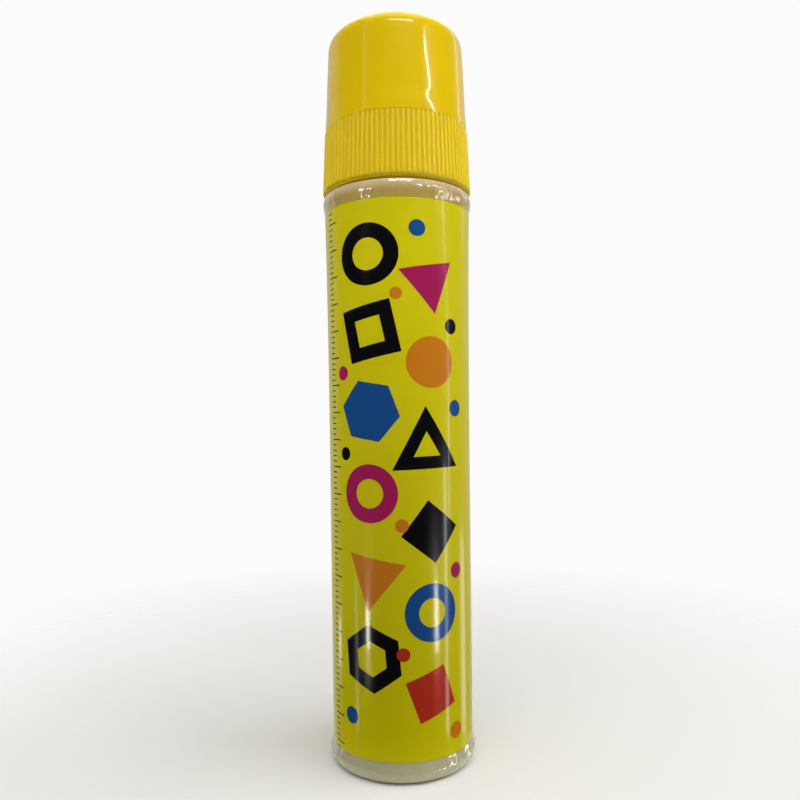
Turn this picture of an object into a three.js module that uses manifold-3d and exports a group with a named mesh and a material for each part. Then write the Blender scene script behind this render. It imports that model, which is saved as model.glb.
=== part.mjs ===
// Liquid glue pen: a squeeze bottle with a wrap label, a ribbed screw collar that clamps a
// sponge tip on the bottle's neck, and a dome cap that pushes on to the collar.
// Millimetres, +Z up along the pen's axis, origin at the centre of the base.

import * as THREE from "three";
import { mergeVertices } from "three/addons/utils/BufferGeometryUtils.js";
import Module from "manifold-3d";

// Bottle barrel
const BARREL_HEIGHT = 105.8; // base to the shoulder's flat top
const SHOULDER_RADIUS = 14.2; // bead round the shoulder, which the collar and the neck follow
const BARREL_TAPER = 0.8; // how much narrower the bead round the foot is
const FOOT_HEIGHT = 3.7; // base to the label panel
const SHOULDER_HEIGHT = 2.3; // label panel to the shoulder's top
const PANEL_RECESS = 0.38; // depth of the label panel under the two beads
const PANEL_WAIST = 0.2; // how far the panel draws in, two thirds of the way up
const HEEL_ROUND = 2.1;
const SHOULDER_ROUND = 1.1;
const BARREL_WALL = 0.9;
const BASE_THICKNESS = 1.2;
const BASE_DISH = 1.3; // rise of the hollow under the base
const STANDING_RING = 2.6; // width of the flat ring that the bottle stands on
const SHOULDER_THICKNESS = 1.3;

// Bottle neck and its thread, which the collar shares
const NECK_WALL = 1.4;
const NECK_LAND = 0.8; // plain neck between the thread and the rim
const THREAD_PITCH = 3.0;
const THREAD_TURNS = 1.5;
const THREAD_DEPTH = 1.0;
const THREAD_ROOT = 1.8; // width of a ridge at its root
const THREAD_CREST = 0.9; // width of its top
const THREAD_LAND = 0.5; // plain wall between the collar's foot and its ridge
const THREAD_CLEARANCE = 0.3;
const THREAD_BURY = 0.4; // how deep a ridge roots in its wall

// Wrap label and liquid
const LABEL_THICKNESS = 0.15;
const LABEL_GAP = 0.05; // film of adhesive
const LABEL_MARGIN = 0.3; // panel left bare at each end
const HEADSPACE = 4.0; // air under the shoulder
const GLUE_GAP = 0.3;

// Sponge tip
const GASKET_THICKNESS = 0.8;
const FLANGE_THICKNESS = 1.2;
const FLANGE_CLEARANCE = 0.5; // flange to the collar's bore
const PLUG_DEPTH = 6.0; // flange to the bottom of the plug
const PLUG_CLEARANCE = 0.25;
const PLUG_CHAMFER = 0.5;
const HOLDER_WALL = 1.0;
const HOLDER_FLOOR = 1.2;
const FLOW_HOLES = 6; // round the one in the middle
const FLOW_HOLE_RADIUS = 1.4;
const FLOW_HOLE_WEB = 1.6; // material between the middle hole and the ring of holes
const SPONGE_CLEARANCE = 0.3; // to the wall of the holder
const DOME_HEIGHT = 9.4; // of the sponge, above the collar's ledge
const MESH_CLEARANCE = 0.15;
const MESH_THICKNESS = 0.35;
const MESH_FLANGE = 2.2; // width of the rim that the collar clamps
const SEAT_GAP = 0.02; // between faces that rest on each other

// Screw collar
const COLLAR_LIFT = 0.3; // shoulder to the collar's foot
const COLLAR_INSET = 0.07; // shoulder to the root of the ribs, at the foot
const COLLAR_WALL = 1.83; // root of the ribs to the bore, at the foot
const COLLAR_DRAFT = 0.46; // how much narrower the top is
const COLLAR_EDGE = 0.35; // round at the foot
const LIP_THICKNESS = 1.3;
const LIP_CLEARANCE = 0.3; // to the tip that comes through the lip
const CLAMP_GAP = 0.1;
const BEAD_HEIGHT = 0.5; // bead that lifts the holder's flange
const BEAD_CHAMFER = 0.4; // slope under the bead
const BEAD_CLEARANCE = 0.3; // to the neck
const BEAD_GAP = 0.15; // to the flange
const RIB_COUNT = 92;
const RIB_DEPTH = 0.32;
const RIB_FOOT = 0.8; // plain band under the ribs
const SPIGOT_HEIGHT = 4.5;
const SPIGOT_WALL = 1.2;
const SPIGOT_CHAMFER = 0.4;

// Cap, and the snap beads that it shares with the spigot
const CAP_STEP = 0.22; // ledge left bare outside the cap
const CAP_LIFT = 0.1; // ledge to the cap's rim
const CAP_WALL = 1.2;
const CAP_TOP_THICKNESS = 1.3;
const CAP_HEADROOM = 8.4; // over the top of the tip
const CAP_DRAFT = 0.58; // how much narrower the side is at its top than at the rim
const CAP_ROUND = 3.8; // between the side and the crown
const CAP_CROWN = 0.3; // rise of the crown
const SNAP_LEVEL = 2.4; // ledge to the spigot's bead
const SNAP_WIDTH = 0.6; // half width of a bead
const SPIGOT_BEAD = 0.25;
const CAP_BEAD = 0.12;
const SNAP_PASS = 0.08; // room in which the stiff beads pass each other

// Fineness
const ROUND_SIDES = 40;
const HOLE_SIDES = 16;
const PANEL_STEPS = 4;
const ARC_STEPS = 4;
const HIDDEN_ARC_STEPS = 2;
const THREAD_FADE = 4; // steps over which a ridge grows out of its wall

// Levels from the base up
const PANEL_TOP = BARREL_HEIGHT - SHOULDER_HEIGHT;
const COLLAR_FOOT = BARREL_HEIGHT + COLLAR_LIFT;
const COLLAR_THREAD = COLLAR_FOOT + THREAD_LAND + THREAD_ROOT / 2;
const NECK_THREAD = COLLAR_THREAD + THREAD_PITCH / 2;
const NECK_RIM = NECK_THREAD + THREAD_TURNS * THREAD_PITCH + THREAD_ROOT / 2 + NECK_LAND;
const GASKET_LOW = NECK_RIM + SEAT_GAP;
const FLANGE_LOW = GASKET_LOW + GASKET_THICKNESS + SEAT_GAP;
const FLANGE_TOP = FLANGE_LOW + FLANGE_THICKNESS;
const MESH_LOW = FLANGE_TOP + SEAT_GAP;
const LIP_LOW = MESH_LOW + MESH_THICKNESS + CLAMP_GAP;
const LEDGE = LIP_LOW + LIP_THICKNESS;
const CAP_RIM = LEDGE + CAP_LIFT;
const TIP_TOP = LEDGE + DOME_HEIGHT + MESH_CLEARANCE + MESH_THICKNESS;
const CAP_TOP = TIP_TOP + CAP_HEADROOM + CAP_TOP_THICKNESS;

// Radii that follow from the shoulder, inwards
const FOOT_RADIUS = SHOULDER_RADIUS - BARREL_TAPER;
const COLLAR_FOOT_RADIUS = SHOULDER_RADIUS - COLLAR_INSET;
const COLLAR_BORE = COLLAR_FOOT_RADIUS - COLLAR_WALL;
const THREAD_OUTSIDE = COLLAR_BORE - THREAD_CLEARANCE;
const NECK_RADIUS = THREAD_OUTSIDE - THREAD_DEPTH; // at the root of the thread
const NECK_BORE = NECK_RADIUS - NECK_WALL;
const PLUG_RADIUS = NECK_BORE - PLUG_CLEARANCE;
const CUP_RADIUS = PLUG_RADIUS - HOLDER_WALL;
const SPONGE_RADIUS = CUP_RADIUS - SPONGE_CLEARANCE;
const MESH_INSIDE = SPONGE_RADIUS + MESH_CLEARANCE;
const MESH_OUTSIDE = MESH_INSIDE + MESH_THICKNESS;
const LIP_RADIUS = MESH_OUTSIDE + LIP_CLEARANCE;

// Radii of the collar's top and the cap
const COLLAR_TOP_RADIUS = COLLAR_FOOT_RADIUS - COLLAR_DRAFT;
const CAP_FOOT_RADIUS = COLLAR_TOP_RADIUS + RIB_DEPTH - CAP_STEP;
const SPIGOT_RADIUS = CAP_FOOT_RADIUS - CAP_WALL - SPIGOT_BEAD - CAP_BEAD - SNAP_PASS;

const QUARTER_TURN = Math.PI / 2;
const FULL_TURN = 2 * Math.PI;

const wasm = await Module();
wasm.setup();

/** A point of a turned profile: its distance from the axis and its height. */
const at = (radius, height) => new THREE.Vector2(radius, height);

/** Part of an ellipse in a turned profile, with angles from the outward direction up. */
function arc(centre, radius, height, from, to, steps) {
  const curve = new THREE.EllipseCurve(centre.x, centre.y, radius, height, from, to, from > to);
  return curve.getPoints(steps);
}

/** A gentle bow in a turned profile, drawn towards a control point. */
function bow(from, control, to, steps) {
  return new THREE.QuadraticBezierCurve(from, control, to).getPoints(steps);
}

/** A turned body about Z, from a profile that is closed or starts and ends on the axis. */
function turned(profile) {
  return new THREE.LatheGeometry(profile, ROUND_SIDES).rotateX(QUARTER_TURN);
}

/** A ring: the turned body of a profile that closes on itself. */
function turnedRing(profile) {
  return turned([...profile, profile[0]]);
}

/** A geometry as a solid that can be joined and cut. */
function solid(geometry) {
  const bare = new THREE.BufferGeometry();
  bare.setAttribute("position", geometry.getAttribute("position"));
  bare.setIndex(geometry.getIndex());
  const merged = mergeVertices(bare);
  const vertProperties = merged.getAttribute("position").array;
  const triVerts = new Uint32Array(merged.getIndex().array);
  return new wasm.Manifold(new wasm.Mesh({ numProp: 3, vertProperties, triVerts }));
}

/** A joined or cut solid as a geometry. */
function geometryOf(body) {
  const mesh = body.getMesh();
  const geometry = new THREE.BufferGeometry();
  geometry.setAttribute("position", new THREE.BufferAttribute(mesh.vertProperties, 3));
  geometry.setIndex(new THREE.BufferAttribute(mesh.triVerts, 1));
  geometry.computeVertexNormals();
  return geometry;
}

/** Radius of the label panel: a taper from foot to shoulder, less a cubic that peaks at the waist. */
function panelRadius(height) {
  const along = (height - FOOT_HEIGHT) / (PANEL_TOP - FOOT_HEIGHT);
  const taper = THREE.MathUtils.lerp(FOOT_RADIUS, SHOULDER_RADIUS, along) - PANEL_RECESS;
  const drawIn = (27 / 4) * along * along * (1 - along);
  return taper - PANEL_WAIST * drawIn;
}

/** Points that follow the panel at an offset, from one height to another. */
function alongPanel(offset, from, to) {
  return Array.from({ length: PANEL_STEPS + 1 }, (_, step) => {
    const height = THREE.MathUtils.lerp(from, to, step / PANEL_STEPS);
    return at(panelRadius(height) + offset, height);
  });
}

/** Cross-section of a thread ridge between two radii, with its width at each. */
function ridgeSection(inner, innerWidth, outer, outerWidth) {
  return [
    at(inner, -innerWidth / 2),
    at(outer, -outerWidth / 2),
    at(outer, outerWidth / 2),
    at(inner, innerWidth / 2),
  ];
}

/** A helical ridge that climbs from a height, with its section given by a function of the fade. */
function threadRidge(start, sectionAt) {
  const steps = Math.round(THREAD_TURNS * ROUND_SIDES);
  const positions = [];
  for (let step = 0; step <= steps; step += 1) {
    const turn = (step / ROUND_SIDES) * FULL_TURN;
    const lift = start + (step / ROUND_SIDES) * THREAD_PITCH;
    const fade = Math.min(1, step / THREAD_FADE, (steps - step) / THREAD_FADE);
    for (const point of sectionAt(fade)) {
      positions.push(point.x * Math.cos(turn), point.x * Math.sin(turn), lift + point.y);
    }
  }
  const corners = positions.length / 3 / (steps + 1);
  const faces = [];
  for (let step = 0; step < steps; step += 1) {
    for (let corner = 0; corner < corners; corner += 1) {
      const here = step * corners + corner;
      const beside = step * corners + ((corner + 1) % corners);
      faces.push(here, here + corners, beside, beside, here + corners, beside + corners);
    }
  }
  const last = steps * corners;
  for (let corner = 1; corner < corners - 1; corner += 1) {
    faces.push(0, corner, corner + 1);
    faces.push(last, last + corner + 1, last + corner);
  }
  const geometry = new THREE.BufferGeometry();
  geometry.setAttribute("position", new THREE.Float32BufferAttribute(positions, 3));
  geometry.setIndex(faces);
  return solid(geometry);
}

/** Bottle: dished base, round heel, two beads round the label panel, and a threaded neck. */
function bottleGeometry() {
  const heel = Math.min(HEEL_ROUND, FOOT_HEIGHT - PANEL_RECESS);
  const heelCentre = at(FOOT_RADIUS - heel, heel);
  const dishRadius = heelCentre.x - STANDING_RING;
  const shoulderRound = Math.min(SHOULDER_ROUND, SHOULDER_HEIGHT - PANEL_RECESS);
  const shoulderCentre = at(SHOULDER_RADIUS - shoulderRound, BARREL_HEIGHT - shoulderRound);
  const ceiling = BARREL_HEIGHT - SHOULDER_THICKNESS;
  const outside = [
    ...bow(at(0, BASE_DISH), at(dishRadius / 2, BASE_DISH), at(dishRadius, 0), HIDDEN_ARC_STEPS),
    ...arc(heelCentre, heel, heel, -QUARTER_TURN, 0, ARC_STEPS),
    at(FOOT_RADIUS, FOOT_HEIGHT - PANEL_RECESS),
    ...alongPanel(0, FOOT_HEIGHT, PANEL_TOP),
    at(SHOULDER_RADIUS, PANEL_TOP + PANEL_RECESS),
    ...arc(shoulderCentre, shoulderRound, shoulderRound, 0, QUARTER_TURN, ARC_STEPS),
    at(NECK_RADIUS, BARREL_HEIGHT),
    at(NECK_RADIUS, NECK_RIM),
  ];
  const inside = [at(NECK_BORE, NECK_RIM), at(NECK_BORE, ceiling), ...insideWall(0, ceiling)];
  const body = solid(turned([...outside, ...inside]));
  const ridge = threadRidge(NECK_THREAD, (fade) => {
    const root = NECK_RADIUS - THREAD_BURY;
    const crest = THREE.MathUtils.lerp(NECK_RADIUS - THREAD_BURY / 2, THREAD_OUTSIDE, fade);
    return ridgeSection(root, THREAD_ROOT, crest, THREAD_CREST);
  });
  return geometryOf(body.add(ridge));
}

/** The bottle's inner wall from a height down to the middle of the base, shrunk by a gap. */
function insideWall(gap, top) {
  const floor = BASE_THICKNESS + gap;
  const round = Math.max(HEEL_ROUND - BARREL_WALL, BARREL_WALL);
  const wall = panelRadius(FOOT_HEIGHT) - BARREL_WALL - gap;
  const centre = at(wall - round, floor + round);
  const dish = Math.min(FOOT_RADIUS - HEEL_ROUND - STANDING_RING, centre.x);
  return [
    ...alongPanel(-BARREL_WALL - gap, top, FOOT_HEIGHT),
    ...arc(centre, round, round, 0, -QUARTER_TURN, HIDDEN_ARC_STEPS),
    ...bow(at(dish, floor), at(dish / 2, floor + BASE_DISH), at(0, floor + BASE_DISH), HIDDEN_ARC_STEPS),
  ];
}

/** Label: a thin film round the panel, just under the height of the beads. */
function labelGeometry() {
  const low = FOOT_HEIGHT + LABEL_MARGIN;
  const high = PANEL_TOP - LABEL_MARGIN;
  return turnedRing([
    ...alongPanel(LABEL_GAP + LABEL_THICKNESS, low, high),
    ...alongPanel(LABEL_GAP, high, low),
  ]);
}

/** Glue: the liquid inside the barrel, up to the air under the shoulder. */
function glueGeometry() {
  const level = BARREL_HEIGHT - SHOULDER_THICKNESS - HEADSPACE;
  return turned([at(0, level), ...insideWall(GLUE_GAP, level)].reverse());
}

/** Gasket: a flat soft ring on the neck's rim. */
function gasketGeometry() {
  const top = GASKET_LOW + GASKET_THICKNESS;
  return turnedRing([
    at(NECK_RADIUS, GASKET_LOW),
    at(NECK_RADIUS, top),
    at(NECK_BORE, top),
    at(NECK_BORE, GASKET_LOW),
  ]);
}

/** Sponge holder: a cup that plugs the neck, with a flange and holes for the glue. */
function holderGeometry() {
  const bottom = FLANGE_LOW - PLUG_DEPTH;
  const floor = bottom + HOLDER_FLOOR;
  const flange = COLLAR_BORE - FLANGE_CLEARANCE;
  const cup = turned([
    at(0, bottom),
    at(PLUG_RADIUS - PLUG_CHAMFER, bottom),
    at(PLUG_RADIUS, bottom + PLUG_CHAMFER),
    at(PLUG_RADIUS, FLANGE_LOW),
    at(flange, FLANGE_LOW),
    at(flange, FLANGE_TOP),
    at(CUP_RADIUS, FLANGE_TOP),
    at(CUP_RADIUS, floor),
    at(0, floor),
  ]);
  const drill = new THREE.CylinderGeometry(
    FLOW_HOLE_RADIUS,
    FLOW_HOLE_RADIUS,
    3 * HOLDER_FLOOR,
    HOLE_SIDES,
  ).rotateX(QUARTER_TURN);
  const middle = (bottom + floor) / 2;
  const ring = 2 * FLOW_HOLE_RADIUS + FLOW_HOLE_WEB;
  let body = solid(cup).subtract(solid(drill.clone().translate(0, 0, middle)));
  for (let hole = 0; hole < FLOW_HOLES; hole += 1) {
    const turn = (hole / FLOW_HOLES) * FULL_TURN;
    const place = drill.clone().translate(ring * Math.cos(turn), ring * Math.sin(turn), middle);
    body = body.subtract(solid(place));
  }
  return geometryOf(body);
}

/** Sponge: a foam plug that fills the cup and stands up as a dome. */
function spongeGeometry() {
  const bottom = FLANGE_LOW - PLUG_DEPTH + HOLDER_FLOOR + SEAT_GAP;
  return turned([
    at(0, bottom),
    at(SPONGE_RADIUS, bottom),
    ...arc(at(0, LEDGE), SPONGE_RADIUS, DOME_HEIGHT, 0, QUARTER_TURN, ARC_STEPS),
  ]);
}

/** Mesh cover: a thin dome over the sponge with a flat rim on the holder's flange. */
function meshGeometry() {
  const rim = MESH_INSIDE + MESH_FLANGE;
  const centre = at(0, LEDGE);
  const inside = DOME_HEIGHT + MESH_CLEARANCE;
  const outside = inside + MESH_THICKNESS;
  return turned([
    ...arc(centre, MESH_INSIDE, inside, QUARTER_TURN, 0, ARC_STEPS),
    at(MESH_INSIDE, MESH_LOW),
    at(rim, MESH_LOW),
    at(rim, MESH_LOW + MESH_THICKNESS),
    at(MESH_OUTSIDE, MESH_LOW + MESH_THICKNESS),
    ...arc(centre, MESH_OUTSIDE, outside, 0, QUARTER_TURN, ARC_STEPS),
  ]);
}

/** Radius at the root of the collar's ribs, at a height above its foot. */
function collarRadius(height) {
  return COLLAR_FOOT_RADIUS - (COLLAR_DRAFT * height) / (LEDGE - COLLAR_FOOT);
}

/** Ribs of the collar: a ring with a toothed outline that narrows with the collar's draft. */
function collarRibs() {
  const low = RIB_FOOT;
  const high = LEDGE - COLLAR_FOOT;
  const root = collarRadius(low);
  const rooted = (COLLAR_TOP_RADIUS - COLLAR_BORE) / 2;
  const teeth = [
    [0, 0],
    [0.35, 0],
    [0.5, RIB_DEPTH],
    [0.85, RIB_DEPTH],
  ];
  const outline = [];
  for (let rib = 0; rib < RIB_COUNT; rib += 1) {
    for (const [share, rise] of teeth) {
      const turn = ((rib + share) / RIB_COUNT) * FULL_TURN;
      outline.push(at((root + rise) * Math.cos(turn), (root + rise) * Math.sin(turn)));
    }
  }
  const shape = new THREE.Shape(outline);
  const hole = new THREE.Path().absarc(0, 0, root - rooted, 0, FULL_TURN, true);
  shape.holes.push(hole);
  const geometry = new THREE.ExtrudeGeometry(shape, {
    depth: high - low,
    bevelEnabled: false,
    curveSegments: ROUND_SIDES,
  });
  const position = geometry.getAttribute("position");
  for (let index = 0; index < position.count; index += 1) {
    const height = position.getZ(index) + low;
    const narrowing = root - collarRadius(height);
    const radius = Math.hypot(position.getX(index), position.getY(index));
    const scale = (radius - narrowing) / radius;
    position.setXYZ(index, position.getX(index) * scale, position.getY(index) * scale, height);
  }
  geometry.translate(0, 0, COLLAR_FOOT);
  return solid(geometry);
}

/** Screw collar: ribbed outside, threaded inside, with a clamping lip and the cap's spigot. */
function collarGeometry() {
  const beadTop = FLANGE_LOW - BEAD_GAP;
  const beadRadius = NECK_RADIUS + BEAD_CLEARANCE;
  const spigotTop = LEDGE + SPIGOT_HEIGHT;
  const snap = LEDGE + SNAP_LEVEL;
  const core = turnedRing([
    at(COLLAR_BORE, COLLAR_FOOT),
    at(COLLAR_FOOT_RADIUS - COLLAR_EDGE, COLLAR_FOOT),
    at(collarRadius(COLLAR_EDGE), COLLAR_FOOT + COLLAR_EDGE),
    at(COLLAR_TOP_RADIUS, LEDGE),
    at(SPIGOT_RADIUS, LEDGE),
    at(SPIGOT_RADIUS, snap - SNAP_WIDTH),
    at(SPIGOT_RADIUS + SPIGOT_BEAD, snap),
    at(SPIGOT_RADIUS, snap + SNAP_WIDTH),
    at(SPIGOT_RADIUS, spigotTop - SPIGOT_CHAMFER),
    at(SPIGOT_RADIUS - SPIGOT_CHAMFER, spigotTop),
    at(SPIGOT_RADIUS - SPIGOT_WALL, spigotTop),
    at(SPIGOT_RADIUS - SPIGOT_WALL, LEDGE),
    at(LIP_RADIUS, LEDGE),
    at(LIP_RADIUS, LIP_LOW),
    at(COLLAR_BORE, LIP_LOW),
    at(COLLAR_BORE, beadTop),
    at(beadRadius, beadTop),
    at(beadRadius, beadTop - BEAD_HEIGHT),
    at(COLLAR_BORE, beadTop - BEAD_HEIGHT - BEAD_CHAMFER),
  ]);
  const ridge = threadRidge(COLLAR_THREAD, (fade) => {
    const root = COLLAR_BORE + THREAD_BURY;
    const crest = THREE.MathUtils.lerp(
      COLLAR_BORE + THREAD_BURY / 2,
      NECK_RADIUS + THREAD_CLEARANCE,
      fade,
    );
    return ridgeSection(crest, THREAD_CREST, root, THREAD_ROOT);
  });
  return geometryOf(solid(core).add(collarRibs()).add(ridge));
}

/** Cap: a drafted dome shell with a round shoulder and a snap bead inside its rim. */
function capGeometry() {
  const sideRadius = CAP_FOOT_RADIUS - CAP_DRAFT;
  const sideTop = CAP_TOP - CAP_CROWN - CAP_ROUND;
  const shoulder = at(sideRadius - CAP_ROUND, sideTop);
  const innerRound = Math.max(CAP_ROUND - CAP_WALL, CAP_WALL);
  const ceiling = CAP_TOP - CAP_TOP_THICKNESS;
  const innerTop = ceiling - CAP_CROWN - innerRound;
  const innerShoulder = at(sideRadius - CAP_WALL - innerRound, innerTop);
  const bore = CAP_FOOT_RADIUS - CAP_WALL;
  const snap = CAP_RIM + SNAP_LEVEL / 2;
  const outside = [
    at(CAP_FOOT_RADIUS, CAP_RIM),
    ...arc(shoulder, CAP_ROUND, CAP_ROUND, 0, QUARTER_TURN, ARC_STEPS),
    at(shoulder.x / 2, CAP_TOP - CAP_CROWN / 4),
    at(0, CAP_TOP),
  ];
  const inside = [
    at(0, ceiling),
    ...arc(innerShoulder, innerRound, innerRound, QUARTER_TURN, 0, HIDDEN_ARC_STEPS),
    at(bore, snap + SNAP_WIDTH),
    at(bore - CAP_BEAD, snap),
    at(bore, snap - SNAP_WIDTH),
    at(bore, CAP_RIM),
  ];
  return turned([...inside, ...outside]);
}

/** A named piece with its own material. */
function piece(name, geometry, color, roughness) {
  const material = new THREE.MeshStandardMaterial({ color, roughness, metalness: 0 });
  const mesh = new THREE.Mesh(geometry, material);
  mesh.name = name;
  return mesh;
}

const bottle = new THREE.Group();
bottle.add(piece("bottle", bottleGeometry(), 0xd9d5c3, 0.35));
bottle.add(piece("label", labelGeometry(), 0xe3d616, 0.25));
bottle.add(piece("glue_fill", glueGeometry(), 0xe9e4cf, 0.15));

const tip = new THREE.Group();
tip.add(piece("neck_gasket", gasketGeometry(), 0x9b9a94, 0.7));
tip.add(piece("sponge_holder", holderGeometry(), 0xe8e6da, 0.4));
tip.add(piece("sponge", spongeGeometry(), 0xefe3b4, 0.95));
tip.add(piece("mesh_cover", meshGeometry(), 0xf2f0e6, 0.8));

const collar = new THREE.Group();
collar.add(piece("screw_collar", collarGeometry(), 0xe0c21a, 0.45));

const cap = new THREE.Group();
cap.add(piece("cap", capGeometry(), 0xe5bd0a, 0.2));

const gluePen = new THREE.Group();
gluePen.name = "liquid_glue_pen";
gluePen.add(bottle, tip, collar, cap);

export default gluePen;
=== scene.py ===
"""Liquid glue pen: the finished surfaces of the pen round its solid parts, laid out as an add-on.

Metres, +Z up along the pen's axis, origin at the centre of the base, front towards -Y.
"""

import math

import bpy
import numpy as np
from bpy.props import FloatProperty, FloatVectorProperty, IntProperty, PointerProperty
from mathutils import Euler, Matrix, Vector


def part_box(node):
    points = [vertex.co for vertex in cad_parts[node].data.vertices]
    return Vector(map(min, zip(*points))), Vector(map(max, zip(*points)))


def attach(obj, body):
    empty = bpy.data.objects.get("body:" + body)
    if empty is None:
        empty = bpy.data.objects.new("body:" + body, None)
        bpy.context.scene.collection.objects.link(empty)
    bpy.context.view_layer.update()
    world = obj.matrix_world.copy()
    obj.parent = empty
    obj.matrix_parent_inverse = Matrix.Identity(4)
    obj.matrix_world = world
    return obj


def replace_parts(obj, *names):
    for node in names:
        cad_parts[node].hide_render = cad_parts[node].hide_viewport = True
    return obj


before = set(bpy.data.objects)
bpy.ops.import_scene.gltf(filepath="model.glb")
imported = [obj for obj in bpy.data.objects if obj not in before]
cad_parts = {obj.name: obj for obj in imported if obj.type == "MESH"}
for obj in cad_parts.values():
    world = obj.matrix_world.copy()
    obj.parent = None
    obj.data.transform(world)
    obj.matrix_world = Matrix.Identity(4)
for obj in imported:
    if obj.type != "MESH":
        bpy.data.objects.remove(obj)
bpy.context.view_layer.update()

bl_info = {
    "name": "Liquid glue pen",
    "version": (1, 0, 0),
    "blender": (4, 5, 0),
    "location": "View3D > Sidebar > Glue pen",
    "description": "Builds the finished surfaces of a liquid glue pen round its solid parts",
    "category": "Object",
}

MM = 0.001
FULL_TURN = 2 * math.pi
TOUCH = 1e-7  # points closer than this are one
NO_TRIANGLES = np.zeros((0, 3), int)


def low_of(node):
    """Lowest level of a solid."""
    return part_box(node)[0].z


def top_of(node):
    """Highest level of a solid."""
    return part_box(node)[1].z


def radius_of(node):
    """Outer radius of a turned solid."""
    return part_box(node)[1].x


# Fits and walls of the solids that no box shows
PANEL_RECESS = 0.38 * MM  # label panel under the two beads
PANEL_WAIST = 0.2 * MM  # how far the panel draws in, two thirds of the way up
BARREL_TAPER = 0.8 * MM  # how much narrower the foot is than the shoulder
BARREL_WALL = 0.9 * MM
BASE_THICKNESS = 1.2 * MM
BASE_DISH = 1.3 * MM
STANDING_RING = 2.6 * MM
SHOULDER_THICKNESS = 1.3 * MM
LABEL_MARGIN = 0.3 * MM
LABEL_GAP = 0.05 * MM
FILM_TRIM = 0.15 * MM  # label's top edge under its solid's
FILM_STEP = 0.06 * MM  # between the label's edges and the beads
COLLAR_LIFT = 0.3 * MM
FOOT_ROUNDING = 0.7 * MM  # foot of the collar, rounded off, above its solid's
FOOT_STANDOUT = 0.36 * MM  # foot bead outside its solid's
SHOULDER_STANDOUT = 0.22 * MM  # shoulder bead outside its solid's
RIM_GAP = 0.03 * MM  # between the cap's rim and the collar's ledge
NECK_WALL = 1.4 * MM
THREAD_PITCH = 3.0 * MM
THREAD_TURNS = 1.5
THREAD_DEPTH = 1.0 * MM
THREAD_ROOT = 1.8 * MM
THREAD_CREST = 0.9 * MM
THREAD_LAND = 0.5 * MM
THREAD_FADE = 0.1  # share of a turn over which a ridge grows out of its wall
FLANGE_CLEARANCE = 0.5 * MM
FLANGE_THICKNESS = 1.2 * MM
COLLAR_DRAFT = 0.46 * MM
COLLAR_WALL = 1.83 * MM
RIB_FOOT = 0.2 * MM
LIP_THICKNESS = 1.3 * MM
LIP_CLEARANCE = 0.3 * MM
BEAD_HEIGHT = 0.5 * MM
BEAD_CHAMFER = 0.4 * MM
BEAD_CLEARANCE = 0.3 * MM
BEAD_GAP = 0.15 * MM
SPIGOT_WALL = 1.2 * MM
SPIGOT_BEAD = 0.25 * MM
CAP_LIFT = 0.1 * MM
CAP_WALL = 1.2 * MM
CAP_TOP_THICKNESS = 1.3 * MM
CAP_DRAFT = 0.58 * MM
CAP_BEAD = 0.12 * MM
SNAP_LEVEL = 2.4 * MM
SNAP_WIDTH = 0.6 * MM
SNAP_PASS = 0.08 * MM
NET_THICKNESS = 0.35 * MM
NET_FLANGE = 2.2 * MM
NET_CLEARANCE = 0.15 * MM

# Marks of the moulds, wrinkles of the blown plastic, pits of the sponge
PARTING_WIDTH = 0.14 * MM
PARTING_REACH = math.radians(1.6)  # drawn finely this far to each side of the line
PARTING_COLUMNS = 13
PINCH_WIDTH = 0.4 * MM
PINCH_DEPTH = 0.25 * MM
PINCH_FADE = 2 * MM  # towards the standing ring
CRINKLE_WAVE = 2.8 * MM
CRINKLE_SLANT = 0.35  # low, so that the wrinkles run up the pen
CRINKLE_INSET = 0.5  # the wrinkles dent more than they swell
CRINKLE_STEP = 0.25 * MM
CRINKLE_FADE = 0.4 * MM  # towards the label
CRINKLE_FOOT = 1.2 * MM  # level under which the wrinkles fade
GATE_WIDTH = 0.8 * MM
GATE_DEPTH = 0.12 * MM
PIT_WAVE = 1.6 * MM
PIT_DEPTH = 0.09 * MM

# Levels
COLLAR_FOOT = low_of("screw_collar") + FOOT_ROUNDING
SPIGOT_TOP = top_of("screw_collar")
BARREL_HEIGHT = COLLAR_FOOT - COLLAR_LIFT
NECK_RIM = top_of("bottle")
LABEL_LOW = low_of("label")
LABEL_TOP = top_of("label") - FILM_TRIM
PANEL_LOW = LABEL_LOW - LABEL_MARGIN
PANEL_TOP = top_of("label") + LABEL_MARGIN
FLANGE_TOP = top_of("sponge_holder")
LEDGE = low_of("cap") - CAP_LIFT
CAP_RIM = LEDGE + RIM_GAP
CAP_TOP = top_of("cap")
COLLAR_THREAD = low_of("screw_collar") + THREAD_LAND + THREAD_ROOT / 2
NECK_THREAD = COLLAR_THREAD + THREAD_PITCH / 2

# Radii
SHOULDER_RADIUS = radius_of("bottle")
FOOT_RADIUS = SHOULDER_RADIUS - BARREL_TAPER
NECK_RADIUS = radius_of("neck_gasket")
NECK_BORE = NECK_RADIUS - NECK_WALL
COLLAR_BORE = radius_of("sponge_holder") + FLANGE_CLEARANCE
COLLAR_RADIUS = COLLAR_BORE + COLLAR_WALL
SPONGE_RADIUS = radius_of("sponge")
CAP_RADIUS = radius_of("cap")
SPIGOT_RADIUS = CAP_RADIUS - CAP_WALL - SPIGOT_BEAD - CAP_BEAD - SNAP_PASS
NET_RADIUS = SPONGE_RADIUS + NET_CLEARANCE + NET_THICKNESS / 2

# Fineness
ROUND_COLUMNS = 192
RIB_COLUMNS = 8  # round one rib
ARC_STEPS = 8
SHARP_ANGLE = math.radians(42)


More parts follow.
